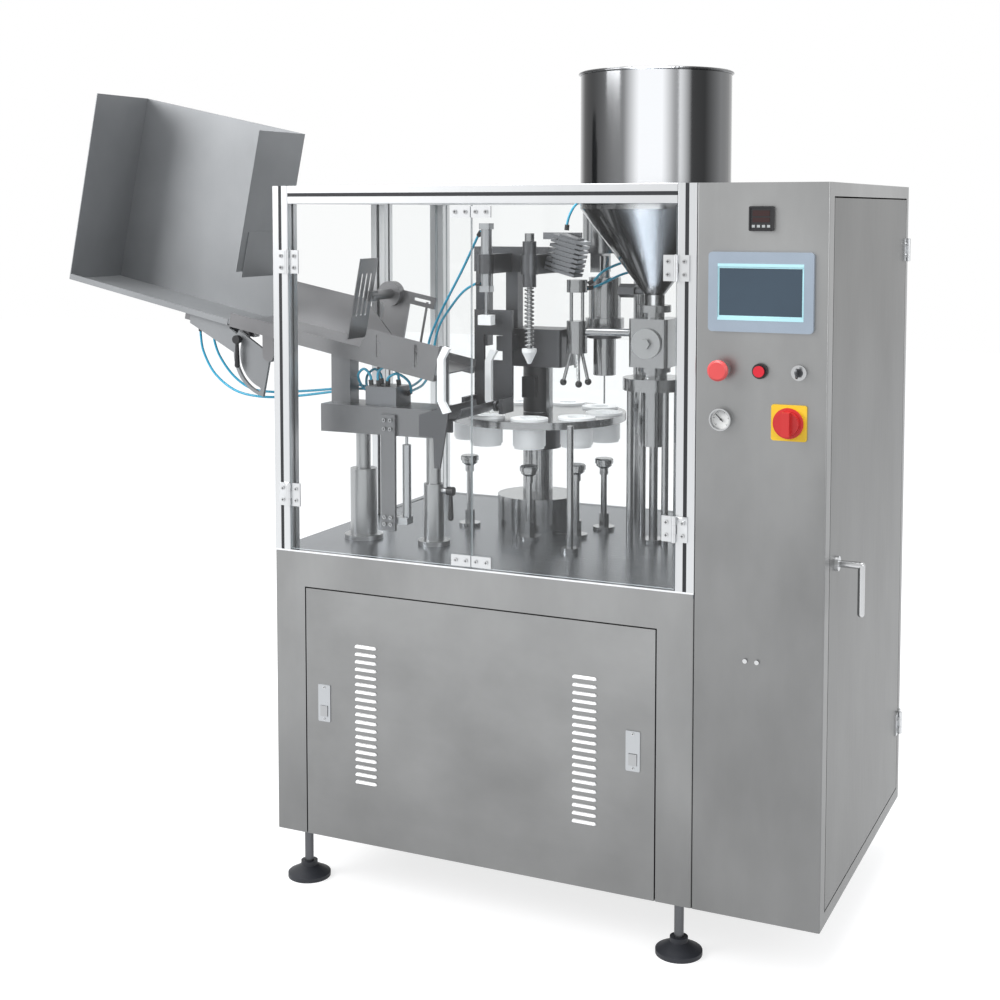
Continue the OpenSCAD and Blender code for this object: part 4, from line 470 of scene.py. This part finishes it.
# The cone and the press pad take the white plastic with its painted glow.
print("cone", paint("cone_spindle", white_plastic, lambda x, y, z: z < spindle_low + 35.5))
print("pad", paint("press_rod", white_plastic, lambda x, y, z: z < press_low + 23.5))
button_z, gauge_z = tower_top - 365, tower_top - 463
print("collars", paint("panel_instruments", bright_steel, lambda x, y, z: y < 1 and abs(z - button_z) < 20))
print("gauge", paint("panel_instruments", bright_steel, lambda x, y, z: y < 1 and abs(z - gauge_z) < 25))
start_x = (sum(c[0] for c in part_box("start_button")) / 2 - cabinet_low[0]) * 1000
print("start collar", paint("panel_instruments", black_plastic, lambda x, y, z: (
    y < 1 and abs(z - button_z) < 20 and abs(x - start_x) < 20)))
print("bolts", paint("panel_instruments", bright_steel, lambda x, y, z: z < tower_top - 800))
print("hub", paint("turntable_hub", turned_steel, lambda x, y, z: z < table_top + 191))
print("side panes", paint("guard_panels", side_acrylic, lambda x, y, z: x < 30))
print("table edge", paint("table_plate", cabinet_steel, lambda x, y, z: z < table_top - 0.5 and (
    y < 0.5 or y > cabinet_d - 0.5 or x < 0.5 or x > cabinet_w - 0.5)))
# The louvre hoods get the painted highlight.
print("louvres", paint("access_panel", louvre_painted_highlight, lambda x, y, z: (
    y < -0.5 and (z > 520 or 160 < x < 820))))
print("latch plates", paint("access_panel", anodised_aluminium, lambda x, y, z: (
    y < -0.5 and 395 < z < 485 and (x < 150 or x > 840))))
print("actuator", paint("head_block", dark_anodised, lambda x, y, z: (
    x > 490 and y < 440 and z < table_top + 712)))
print("sensor", paint("centre_column", black_plastic, lambda x, y, z: y < hub_y - 20 and z > table_top + 200))
print("balls", paint("fill_nozzle", black_plastic, lambda x, y, z: z < table_top + 372))
print("level probe", paint("filling_pump", dark_casting, lambda x, y, z: x < 728 and z > table_top + 545))
print("manifold", paint("air_cylinders", dark_anodised, lambda x, y, z: (
    149 < x < 231 and z < table_top + 380)))

# %% [markdown]
# ## Air hoses
# Blue polyurethane tube carries air to the cylinders. Each hose is a round tube swept along a smooth
# line through a few points, with many more rings than the CAD tube has, so that its bends look soft.
# A curve with a bevel would do too.

# %% Smooth lines and swept tubes


def smooth_line(points, steps):
    """Catmull-Rom line through points."""
    line = []
    for i in range(len(points) - 1):
        a, b = points[max(i - 1, 0)], points[i]
        c, d = points[i + 1], points[min(i + 2, len(points) - 1)]
        for s in range(steps):
            t = s / steps
            line.append(0.5 * (2 * b + (c - a) * t + (2 * a - 5 * b + 4 * c - d) * t * t
                               + (3 * b - a - 3 * c + d) * t ** 3))
    return line + [points[-1]]


def swept_tube(bm, line, radius, sides=14):
    """Closed round tube along line, with its rings turned as little as possible."""
    rings = []
    side = None
    for i, centre in enumerate(line):
        ahead = (line[min(i + 1, len(line) - 1)] - line[max(i - 1, 0)]).normalized()
        if side is None:
            side = ahead.orthogonal().normalized()
        side = (side - ahead * side.dot(ahead)).normalized()
        up = ahead.cross(side)
        rings.append([bm.verts.new(centre + radius * (math.cos(a) * side + math.sin(a) * up))
                      for a in (k * math.tau / sides for k in range(sides))])
    for near, far in zip(rings, rings[1:]):
        for k in range(sides):
            bm.faces.new((near[k], near[(k + 1) % sides], far[(k + 1) % sides], far[k]))
    bm.faces.new(list(reversed(rings[0])))
    bm.faces.new(rings[-1])


def make_piece(name, bm, materials, body, smooth=30):
    """Turns a bmesh into an object that rides on a body of the machine."""
    mesh = bpy.data.meshes.new(name)
    bm.to_mesh(mesh)
    bm.free()
    for material in materials:
        mesh.materials.append(material)
    if smooth:
        mesh.shade_smooth()
        mesh.set_sharp_from_angle(angle=math.radians(smooth))
    piece = bpy.data.objects.new(name, mesh)
    scene.collection.objects.link(piece)
    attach(piece, body)
    return piece


# %% A hose through a few points
hose_width = 6
hose_steps = 8


def lay_hose(name, points, stands_for=None):
    """Hose through points in millimetres, the last number up from the table. Returns its length."""
    line = smooth_line([at(x, y, table_top + h) for x, y, h in points], hose_steps)
    bm = bmesh.new()
    swept_tube(bm, line, hose_width / 2000)
    hose = make_piece(name, bm, [hose_blue], "machine", smooth=60)
    if stands_for:
        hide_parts(stands_for)
    length = sum((b - a).length for a, b in zip(line, line[1:]))
    return length


# %% The hoses of the magazine and the head
hose_points = {
    "bin_hose_a": [(-340, 196, 480), (-340, 196, 455), (-330, 194, 415), (-295, 190, 365), (-235, 186, 328),
                   (-165, 186, 316), (-90, 198, 318), (0, 214, 330), (70, 220, 342), (125, 208, 346),
                   (149.2, 207, 346)],
    "bin_hose_b": [(-300, 196, 472), (-300, 196, 445), (-286, 200, 405), (-250, 204, 360), (-200, 204, 332),
                   (-140, 206, 326), (-70, 216, 330), (10, 230, 338), (75, 232, 350), (125, 217, 349),
                   (149.2, 215, 349)],
    "press_hose_a": [(354, 337, 712), (341, 345, 699), (288, 372, 621), (222, 392, 521), (188, 398, 455),
                     (180, 392, 400), (184, 366, 362), (190, 310, 348), (192, 260, 346), (192, 236, 345),
                     (192, 221, 345)],
    "press_hose_b": [(354, 337, 590), (338, 341, 590), (300, 352, 570), (255, 374, 530), (216, 392, 484),
                     (198, 398, 430), (196, 384, 378), (200, 340, 348), (206, 280, 340), (208, 240, 338),
                     (208, 221, 338)],
    "nozzle_hose_a": [(594.4, 410.4, 592), (606, 417, 600), (622, 440, 622), (650, 490, 640), (690, 545, 652),
                      (760, 590, 655), (850, 610, 648), (930, 615, 640), (970, 615, 640), (987.9, 615, 640)],
    "nozzle_hose_b": [(590.8, 415.4, 582), (601, 428, 584), (622, 460, 596), (648, 512, 614), (700, 575, 626),
                      (780, 622, 626), (870, 640, 618), (940, 645, 612), (970, 645, 612), (987.9, 645, 612)],
    "actuator_hose": [(545, 398, 716), (547, 398, 734), (553, 402, 756), (562, 420, 778), (572, 470, 790),
                      (592, 540, 794), (640, 612, 786), (740, 650, 770), (860, 655, 750), (950, 655, 740),
                      (987.9, 655, 740)],
}
for name, points in hose_points.items():
    length = lay_hose(name, points, "bin_hoses" if name.startswith("bin") else "head_hoses")
    print(name, round(length, 3), "m")

# %% [markdown]
# Short ends of the same tube join the ports of the manifold under the chute. They are too small to
# matter for the solids, so they are made here only.

# %% Short hoses at the manifold
short_points = (
    [(160, 160, 361), (158, 158, 385), (140, 160, 398), (118, 172, 380), (122, 190, 350), (150, 196, 338)],
    [(178, 162, 361), (178, 160, 392), (196, 170, 405), (214, 185, 390), (216, 190, 361)],
    [(170, 192, 361), (166, 194, 382), (146, 200, 394), (122, 206, 376), (126, 202, 346), (150, 200, 330)],
    [(200, 165, 361), (204, 160, 380), (226, 164, 390), (246, 180, 372), (242, 200, 346), (229, 205, 340)],
)
for k, points in enumerate(short_points):
    print("short hose", k + 1, round(lay_hose("short_hose_%d" % (k + 1), points), 3), "m")

# %% [markdown]
# ## The spindle's spring
# A wound spring sits between the cone and the guide bush. When the spindle lifts, the real spring gets
# shorter; this coil is hung on the spindle's body and keeps its length. The CAD coil has few sides; this one
# is wound from the same radius, wire and number of turns with more of them.

# %% Wound spring
spring_low, spring_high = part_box("spindle_spring")
wire, turns, turn_steps = 0.002, 15, 24  # the wire's radius in metres
coil_r = (spring_high[0] - spring_low[0]) / 2 - wire
axis_x, axis_y = ((spring_low[i] + spring_high[i]) / 2 for i in (0, 1))
coil_low, coil_l = spring_low[2] + wire, spring_high[2] - spring_low[2] - 2 * wire
line = []
for k in range(turn_steps * turns + 1):
    angle = k * math.tau / turn_steps
    line.append(Vector((axis_x + coil_r * math.cos(angle), axis_y + coil_r * math.sin(angle),
                        coil_low + coil_l * k / (turn_steps * turns))))
bm = bmesh.new()
swept_tube(bm, line, wire, sides=10)
coil = make_piece("spring_coil", bm, [turned_steel], "cone_spindle", smooth=60)
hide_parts("spindle_spring")
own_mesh(coil)
print("spring", round(coil_l * 1000), "mm long,", turns, "turns")

# %% [markdown]
# ## Slot strips in the frame
# The slots of the aluminium bars are closed with black strip. Each strip is a thin box that sits a
# little below the bar's face, on the faces that look outwards.

# %% Black strips in the slots


def add_box(bm, low, high, index=0):
    """Box between two corners, given in millimetres from the cabinet's corner."""
    made = bmesh.ops.create_cube(bm, size=1)
    a, b = at(*low), at(*high)
    for v in made["verts"]:
        v.co = Vector([a[i] + (v.co[i] + 0.5) * (b[i] - a[i]) for i in range(3)])
    for face in {f for v in made["verts"] for f in v.link_faces}:
        face.material_index = index


profile, slot, play = 40, 8, 0.1
sunk, deep = 0.7, 3.5  # the strip's face and back, below the bar's face
middle_post_y = 440
mid = profile / 2
near_side, far_side = mid - slot / 2 + play, mid + slot / 2 - play
right_x, rear_y = cabinet_w - profile, cabinet_d - profile
bm = bmesh.new()
for x, y in ((0, 0), (right_x, 0), (0, middle_post_y), (0, rear_y), (right_x, rear_y)):
    if y == 0:
        add_box(bm, (x + near_side, sunk, table_top), (x + far_side, deep, tower_top))
    if y == rear_y:
        add_box(bm, (x + near_side, cabinet_d - deep, table_top), (x + far_side, cabinet_d - sunk, tower_top))
    if x == 0:
        add_box(bm, (sunk, y + near_side, table_top), (deep, y + far_side, tower_top))
rail_z = tower_top - profile
for y0, y1 in ((sunk, deep), (cabinet_d - deep, cabinet_d - sunk)):
    add_box(bm, (profile, y0, rail_z + near_side), (right_x, y1, rail_z + far_side))
add_box(bm, (sunk, profile, rail_z + near_side), (deep, rear_y, rail_z + far_side))
strips = make_piece("slot_strips", bm, [dark_slot_and_recess_shade], "machine", smooth=0)
print("strip faces", len(strips.data.polygons))

# %% [markdown]
# ## The table's painted edge highlight
# The front edge of the table plate is ground to a small bevel. It catches the light as a thin bright
# line, so a narrow pale strip is laid along it as a painted highlight.

# %% Painted highlight along the table
# Painted highlight: a pale strip stands for light caught by the ground bevel.
table_edge_highlight_paint = plain("table_edge_highlight_paint", (0.9, 0.91, 0.92), 0.4, 0.2)
bm = bmesh.new()
add_box(bm, (0.5, -0.6, table_top - 3.6), (cabinet_w - 0.5, 1, table_top - 0.1))
make_piece("table_edge_highlight", bm, [table_edge_highlight_paint], "machine", smooth=0)
print("edge line", round(cabinet_w), "mm")

# %% [markdown]
# ## Screws and nuts
# The hinges, the catches and the plates are held by the same few screws. One Geometry Nodes tree puts
# a head with a cross on every point of a small cloud of points, turned to the direction stored with
# the point. Copying heads by hand would work for ten screws, but not for the whole machine.

# %% A tree that puts a screw head on every point


def screw_tree():
    """Geometry Nodes tree with named inputs for the head's width and height."""
    tree = bpy.data.node_groups.new("screw_heads", "GeometryNodeTree")
    face = tree.interface
    face.new_socket("Geometry", in_out="INPUT", socket_type="NodeSocketGeometry")
    for label in ("Head width", "Head height"):
        face.new_socket(label, in_out="INPUT", socket_type="NodeSocketFloat")
    face.new_socket("Sides", in_out="INPUT", socket_type="NodeSocketInt")
    face.new_socket("Head finish", in_out="INPUT", socket_type="NodeSocketMaterial")
    face.new_socket("Cross finish", in_out="INPUT", socket_type="NodeSocketMaterial")
    face.new_socket("Geometry", in_out="OUTPUT", socket_type="NodeSocketGeometry")
    add, link = tree.nodes.new, tree.links.new
    given, out = add("NodeGroupInput"), add("NodeGroupOutput")
    half = add("ShaderNodeMath")
    half.operation = "MULTIPLY"
    half.inputs[1].default_value = 0.5
    link(given.outputs["Head width"], half.inputs[0])
    head = add("GeometryNodeMeshCylinder")
    link(given.outputs["Sides"], head.inputs["Vertices"])
    link(half.outputs["Value"], head.inputs["Radius"])
    link(given.outputs["Head height"], head.inputs["Depth"])
    arm_l, arm_w = add("ShaderNodeMath"), add("ShaderNodeMath")
    for node, share in ((arm_l, 0.62), (arm_w, 0.14)):
        node.operation = "MULTIPLY"
        node.inputs[1].default_value = share
        link(given.outputs["Head width"], node.inputs[0])
    rise = add("ShaderNodeMath")
    rise.operation = "MULTIPLY"
    rise.inputs[1].default_value = 0.5
    link(given.outputs["Head height"], rise.inputs[0])
    lift = add("ShaderNodeCombineXYZ")
    link(rise.outputs["Value"], lift.inputs["Z"])
    # The cross is a thin dark sheet on the head: painted shade for the screw's recess.
    cross = add("GeometryNodeJoinGeometry")
    for long, short in (("X", "Y"), ("Y", "X")):
        size = add("ShaderNodeCombineXYZ")
        size.inputs["Z"].default_value = 0.0002
        link(arm_l.outputs["Value"], size.inputs[long])
        link(arm_w.outputs["Value"], size.inputs[short])
        bar = add("GeometryNodeMeshCube")
        link(size.outputs["Vector"], bar.inputs["Size"])
        link(bar.outputs["Mesh"], cross.inputs["Geometry"])
    up = add("GeometryNodeTransform")
    link(cross.outputs["Geometry"], up.inputs["Geometry"])
    link(lift.outputs["Vector"], up.inputs["Translation"])
    mark = add("GeometryNodeStoreNamedAttribute")
    mark.data_type, mark.domain = "BOOLEAN", "FACE"
    mark.inputs["Name"].default_value = "cross"
    mark.inputs["Value"].default_value = True
    link(up.outputs["Geometry"], mark.inputs["Geometry"])
    whole = add("GeometryNodeJoinGeometry")
    link(head.outputs["Mesh"], whole.inputs["Geometry"])
    link(mark.outputs["Geometry"], whole.inputs["Geometry"])
    seat = add("GeometryNodeTransform")
    link(whole.outputs["Geometry"], seat.inputs["Geometry"])
    link(lift.outputs["Vector"], seat.inputs["Translation"])
    facing = add("GeometryNodeInputNamedAttribute")
    facing.data_type = "FLOAT_VECTOR"
    facing.inputs["Name"].default_value = "facing"
    turn = add("FunctionNodeAlignRotationToVector")
    turn.axis = "Z"
    link(facing.outputs["Attribute"], turn.inputs["Vector"])
    copies = add("GeometryNodeInstanceOnPoints")
    link(given.outputs["Geometry"], copies.inputs["Points"])
    link(seat.outputs["Geometry"], copies.inputs["Instance"])
    link(turn.outputs["Rotation"], copies.inputs["Rotation"])
    real = add("GeometryNodeRealizeInstances")
    link(copies.outputs["Instances"], real.inputs["Geometry"])
    is_recess_shade = add("GeometryNodeInputNamedAttribute")
    is_recess_shade.data_type = "BOOLEAN"
    is_recess_shade.inputs["Name"].default_value = "cross"
    head_paint, recess_shade_paint = add("GeometryNodeSetMaterial"), add("GeometryNodeSetMaterial")
    link(real.outputs["Geometry"], head_paint.inputs["Geometry"])
    link(given.outputs["Head finish"], head_paint.inputs["Material"])
    link(head_paint.outputs["Geometry"], recess_shade_paint.inputs["Geometry"])
    link(is_recess_shade.outputs["Attribute"], recess_shade_paint.inputs["Selection"])
    link(given.outputs["Cross finish"], recess_shade_paint.inputs["Material"])
    link(recess_shade_paint.outputs["Geometry"], out.inputs["Geometry"])
    return tree


screws = screw_tree()
print("screw tree nodes", len(screws.nodes))

# %% Turning the tree's result into plain meshes


# The cross finish defaults to the dark slot black, a painted shade for the recess.
def fasten(name, body, spots, width, height, sides=18, finish=bright_steel, cross=dark_slot_and_recess_shade):
    """Screw heads at spots, a list of (place in millimetres, direction), as one plain mesh on body."""
    cloud = bpy.data.meshes.new(name + "_points")
    cloud.from_pydata([at(*place) for place, _ in spots], [], [])
    stored = cloud.attributes.new("facing", "FLOAT_VECTOR", "POINT")
    for i, (_, direction) in enumerate(spots):
        stored.data[i].vector = direction
    holder = bpy.data.objects.new(name + "_points", cloud)
    scene.collection.objects.link(holder)
    modifier = holder.modifiers.new("screws", "NODES")
    modifier.node_group = screws
    values = {"Head width": width / 1000, "Head height": height / 1000, "Sides": sides,
              "Head finish": finish, "Cross finish": cross}
    for item in screws.interface.items_tree:
        if item.in_out == "INPUT" and item.name in values:
            modifier[item.identifier] = values[item.name]
    seen = holder.evaluated_get(bpy.context.evaluated_depsgraph_get())
    mesh = bpy.data.meshes.new_from_object(seen)
    bpy.data.objects.remove(holder)
    for index in reversed(range(len(mesh.materials))):
        if mesh.materials[index] is None:
            mesh.materials.pop(index=index)
    piece = bpy.data.objects.new(name, mesh)
    scene.collection.objects.link(piece)
    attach(piece, body)
    return len(spots)


# %% Screws of the guard doors
out_front, out_right = (0, -1, 0), (1, 0, 0)
head_w, head_h = 9, 2.6
leaf_x, leaf_z, leaf_t = 17, 13, 3  # a screw's place on a hinge leaf, and the leaf's thickness
hinge_inset = 41
left_axis, right_axis, seam_x = hinge_inset, cabinet_w - hinge_inset, cabinet_w / 2


def leaf_screws(x):
    """Screws of the two hinge leaves whose middle is at x."""
    return [((x, -leaf_t, z + dz), out_front) for z in (table_top + 126, tower_top - 168)
            for dz in (-leaf_z, leaf_z)]


def catch_screws(x):
    """Screws of the upper and the lower catch that begin at x."""
    return [((x + dx, -leaf_t, z), out_front) for z in (table_top + 17, tower_top - 57) for dx in (11, 35)]


count = fasten("frame_hinge_screws", "machine",
               leaf_screws(left_axis - leaf_x) + leaf_screws(right_axis + leaf_x), head_w, head_h)
count += fasten("left_door_screws", "left_door",
                leaf_screws(left_axis + leaf_x) + catch_screws(seam_x - 47), head_w, head_h)
count += fasten("right_door_screws", "right_door",
                leaf_screws(right_axis - leaf_x) + catch_screws(seam_x + 1), head_w, head_h)
print("guard screws", count)

# %% Screws of the tower, the latches and the hanging plate
sheet_low = 128  # the underside of the cabinet and the tower
tower_hinge_y = cabinet_d - 28.5


def tower_screws(y):
    """Screws of the tower's two hinge leaves whose middle is at y."""
    return [((tower_right + leaf_t, y, z + dz), out_right) for z in (sheet_low + 190, tower_top - 146)
            for dz in (-leaf_z, leaf_z)]


count = fasten("tower_frame_screws", "machine", tower_screws(tower_hinge_y + leaf_x), head_w, head_h)
count += fasten("tower_door_screws", "tower_door", tower_screws(tower_hinge_y - leaf_x), head_w, head_h)
count += fasten("latch_screws", "access_panel",
                [((x, -2, sheet_low + h), out_front) for x in (126.5, 861.5) for h in (271, 343)], 6, 1.4)
count += fasten("hang_plate_bolts", "machine",
                [((x, 126, table_top + h), out_front) for x in (213, 229) for h in (50, 66, 268, 288)],
                head_w, 5, finish=turned_steel)
print("other screws", count)

# %% [markdown]
# A push-in fitting is a short black collar that grips the hose's end. The screw tree makes these too:
# a wide and tall head whose cross has the head's own colour.

# %% Push-in fittings at the hose ends
fittings = []
for points in (*hose_points.values(), *short_points):
    for end, after in ((points[0], points[1]), (points[-1], points[-2])):
        way = (Vector(after) - Vector(end)).normalized()
        fittings.append(((end[0], end[1], table_top + end[2]), way))
print("fittings", fasten("hose_fittings", "machine", fittings, 11, 13, finish=black_plastic,
                         cross=black_plastic))

# %% [markdown]
# ## The faces of the instruments
# The touch panel is a pale bezel with a dark pane and a thin light line round it. The controller has
# two dark windows and a row of keys. They are thin boxes laid in the recesses of the CAD solids.

# %% Touch panel
hmi_z = tower_top - 212
bezel_low, bezel_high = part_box("hmi_panel")
bezel_w, bezel_h = (bezel_high[0] - bezel_low[0]) * 1000, (bezel_high[2] - bezel_low[2]) * 1000
bezel_y, recess_y = (bezel_low[1] - cabinet_low[1]) * 1000, -7
pane_x, pane_z = 164 / 2, 92 / 2  # half sizes: the pane, the recess round it and the light line's outside
recess_x, recess_z = 85, 49
frame_x, frame_z = bezel_w * 0.41, bezel_h * 0.355


def screen_box(bm, x0, x1, z0, z1, front, back, index):
    """Box on the touch panel, measured from the panel's middle."""
    add_box(bm, (tower_middle + x0, front, hmi_z + z0), (tower_middle + x1, back, hmi_z + z1), index)


def screen_ring(bm, x_in, z_in, x_out, z_out, front, back):
    """Four bars of light line round the pane, between two half sizes."""
    screen_box(bm, -x_out, x_out, z_in, z_out, front, back, 1)
    screen_box(bm, -x_out, x_out, -z_out, -z_in, front, back, 1)
    screen_box(bm, -x_out, -x_in, -z_in, z_in, front, back, 1)
    screen_box(bm, x_in, x_out, -z_in, z_in, front, back, 1)


bm = bmesh.new()
screen_box(bm, -pane_x, pane_x, -pane_z, pane_z, recess_y - 0.5, recess_y, 0)
screen_ring(bm, pane_x, pane_z, recess_x, recess_z, recess_y - 0.8, recess_y)
screen_ring(bm, recess_x, recess_z, frame_x, frame_z, bezel_y - 0.3, bezel_y + 0.3)
make_piece("touch_screen", bm, [screen_glass, cyan_line], "machine", smooth=0)
print("bezel", round(bezel_w), round(bezel_h), "front", round(bezel_y, 1))

# %% Controller
control_z, control_y = tower_top - 70, -8
bm = bmesh.new()
for z0, z1 in ((5, 16), (-7, 2)):
    add_box(bm, (tower_middle - 17, control_y - 0.6, control_z + z0),
            (tower_middle + 17, control_y, control_z + z1), 0)
for k in range(4):
    x = tower_middle - 15 + k * 10
    add_box(bm, (x - 3, control_y - 1, control_z - 17), (x + 3, control_y, control_z - 12), 1)
make_piece("controller_face", bm, [display_dark, module_plastic], "machine", smooth=0)
print("controller windows 2, keys 4")

# %% [markdown]
# The main switch turns on a red disc in the middle of a yellow plate. A flat cylinder is enough for it.

# %% Red disc under the switch knob
plate_low, plate_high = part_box("switch_plate")
disc_r, disc_t = (plate_high[0] - plate_low[0]) * 0.43, 0.0012
disc_centre = Vector(((plate_low[0] + plate_high[0]) / 2, plate_low[1] - disc_t / 2,
                      (plate_low[2] + plate_high[2]) / 2))
face_front = Matrix.Rotation(math.pi / 2, 4, "X")
bm = bmesh.new()
bmesh.ops.create_cone(bm, cap_ends=True, segments=64, radius1=disc_r, radius2=disc_r, depth=disc_t,
                      matrix=Matrix.Translation(disc_centre) @ face_front)
make_piece("switch_disc", bm, [switch_red], "machine")
print("switch disc", round(disc_r * 2000), "mm")

# %% [markdown]
# ## The gauge
# A pressure gauge has a white dial with a ring of division marks. The marks are short bars set round
# an arc of 270 degrees, longer at every fifth one.

# %% Dial and marks
gauge_x = tower_middle - 77
dial_r, mark_r, divisions = 19.2, 17.5, 25
bm = bmesh.new()
bmesh.ops.create_circle(bm, cap_ends=True, segments=48, radius=dial_r / 1000,
                        matrix=Matrix.Translation(at(gauge_x, -2.7, gauge_z)) @ face_front)
centre = at(gauge_x, -2.9, gauge_z)
for k in range(divisions + 1):
    angle = math.radians(225 - k * 270 / divisions)
    reach, width = (4.2, 0.9) if k % 5 == 0 else (2.4, 0.5)
    along = Vector((math.cos(angle), 0, math.sin(angle)))
    across = Vector((-along.z, 0, along.x))
    corners = [centre + (r * along + w * across) / 1000 for r, w in (
        (mark_r, -width / 2), (mark_r, width / 2), (mark_r - reach, width / 2), (mark_r - reach, -width / 2))]
    mark = bm.faces.new([bm.verts.new(c) for c in corners])
    mark.material_index = 1
    mark.normal_update()
    if mark.normal.y > 0:
        mark.normal_flip()
make_piece("gauge_dial", bm, [dial_white, dark_slot_and_recess_shade], "machine", smooth=0)
print("gauge marks", divisions + 1)

# %% [markdown]
# ## The floor and the light
# The machine stands on a plain pale floor in soft light. The world gives a light grey light, and is
# white where the camera looks at it, straight, in the steel or through the acrylic. The floor is white
# in the same way and keeps the machine's shadow, and to all other light it is mid grey.

# %% What is looked at, and what only gives light


def seen_share(tree):
    """1 for a ray from the camera, a mirror or a clear sheet, and 0 for all other light."""
    path = tree.nodes.new("ShaderNodeLightPath")
    mirrored = tree.nodes.new("ShaderNodeMath")
    passed = tree.nodes.new("ShaderNodeMath")
    passed.use_clamp = True
    tree.links.new(path.outputs["Is Camera Ray"], mirrored.inputs[0])
    tree.links.new(path.outputs["Is Glossy Ray"], mirrored.inputs[1])
    tree.links.new(mirrored.outputs["Value"], passed.inputs[0])
    tree.links.new(path.outputs["Is Transmission Ray"], passed.inputs[1])
    return passed.outputs["Value"]


# %% Floor
floor_finish = plain("floor_finish", (0.28, 0.28, 0.29), 0.8)
tree = floor_finish.node_tree
pale = tree.nodes.new("ShaderNodeBsdfDiffuse")
pale.inputs["Color"].default_value = (0.4, 0.4, 0.4, 1)
glow = tree.nodes.new("ShaderNodeEmission")
glow.inputs["Strength"].default_value = 0.74
both = tree.nodes.new("ShaderNodeAddShader")
pick = tree.nodes.new("ShaderNodeMixShader")
tree.links.new(pale.outputs["BSDF"], both.inputs[0])
tree.links.new(glow.outputs["Emission"], both.inputs[1])
tree.links.new(seen_share(tree), pick.inputs["Fac"])
tree.links.new(tree.nodes["Principled BSDF"].outputs["BSDF"], pick.inputs[1])
tree.links.new(both.outputs["Shader"], pick.inputs[2])
tree.links.new(pick.outputs["Shader"], tree.nodes["Material Output"].inputs["Surface"])
bm = bmesh.new()
bmesh.ops.create_grid(bm, x_segments=1, y_segments=1, size=14)
floor_mesh = bpy.data.meshes.new("floor")
bm.to_mesh(floor_mesh)
bm.free()
floor_mesh.materials.append(floor_finish)
floor = bpy.data.objects.new("floor", floor_mesh)
scene.collection.objects.link(floor)
print("floor", [round(c, 1) for c in floor.dimensions])

# %% World
world = bpy.data.worlds.new("studio")
scene.world = world
world.use_nodes = True
tree = world.node_tree
lit = tree.nodes["Background"]
lit.inputs["Color"].default_value = (0.8, 0.82, 0.85, 1)
lit.inputs["Strength"].default_value = 1.0
seen = tree.nodes.new("ShaderNodeBackground")
seen.inputs["Color"].default_value = (1, 1, 1, 1)
seen.inputs["Strength"].default_value = 1.0
pick = tree.nodes.new("ShaderNodeMixShader")
tree.links.new(seen_share(tree), pick.inputs["Fac"])
tree.links.new(lit.outputs["Background"], pick.inputs[1])
tree.links.new(seen.outputs["Background"], pick.inputs[2])
tree.links.new(pick.outputs["Shader"], tree.nodes["World Output"].inputs["Surface"])
print("world", world.name)

# %% Lamps


def area_lamp(name, place, aim, width, height, power):
    """Soft rectangular lamp that looks at a point."""
    data = bpy.data.lights.new(name, "AREA")
    data.shape = "RECTANGLE"
    data.size, data.size_y = width, height
    data.energy = power
    lamp = bpy.data.objects.new(name, data)
    scene.collection.objects.link(lamp)
    lamp.location = place
    lamp.rotation_euler = (Vector(aim) - Vector(place)).to_track_quat("-Z", "Y").to_euler()


middle = (0, 0, 1.0)
area_lamp("key_left", (-3.4, -3.4, 3.4), middle, 2.4, 2.4, 190)
area_lamp("top_soft", (0.2, -0.4, 4.6), middle, 3.2, 2.4, 150)
area_lamp("fill_right", (3.6, -1.6, 2.0), middle, 1.2, 2.6, 20)
scene.view_settings.view_transform = "Standard"
print("lamps", len(bpy.data.lights))
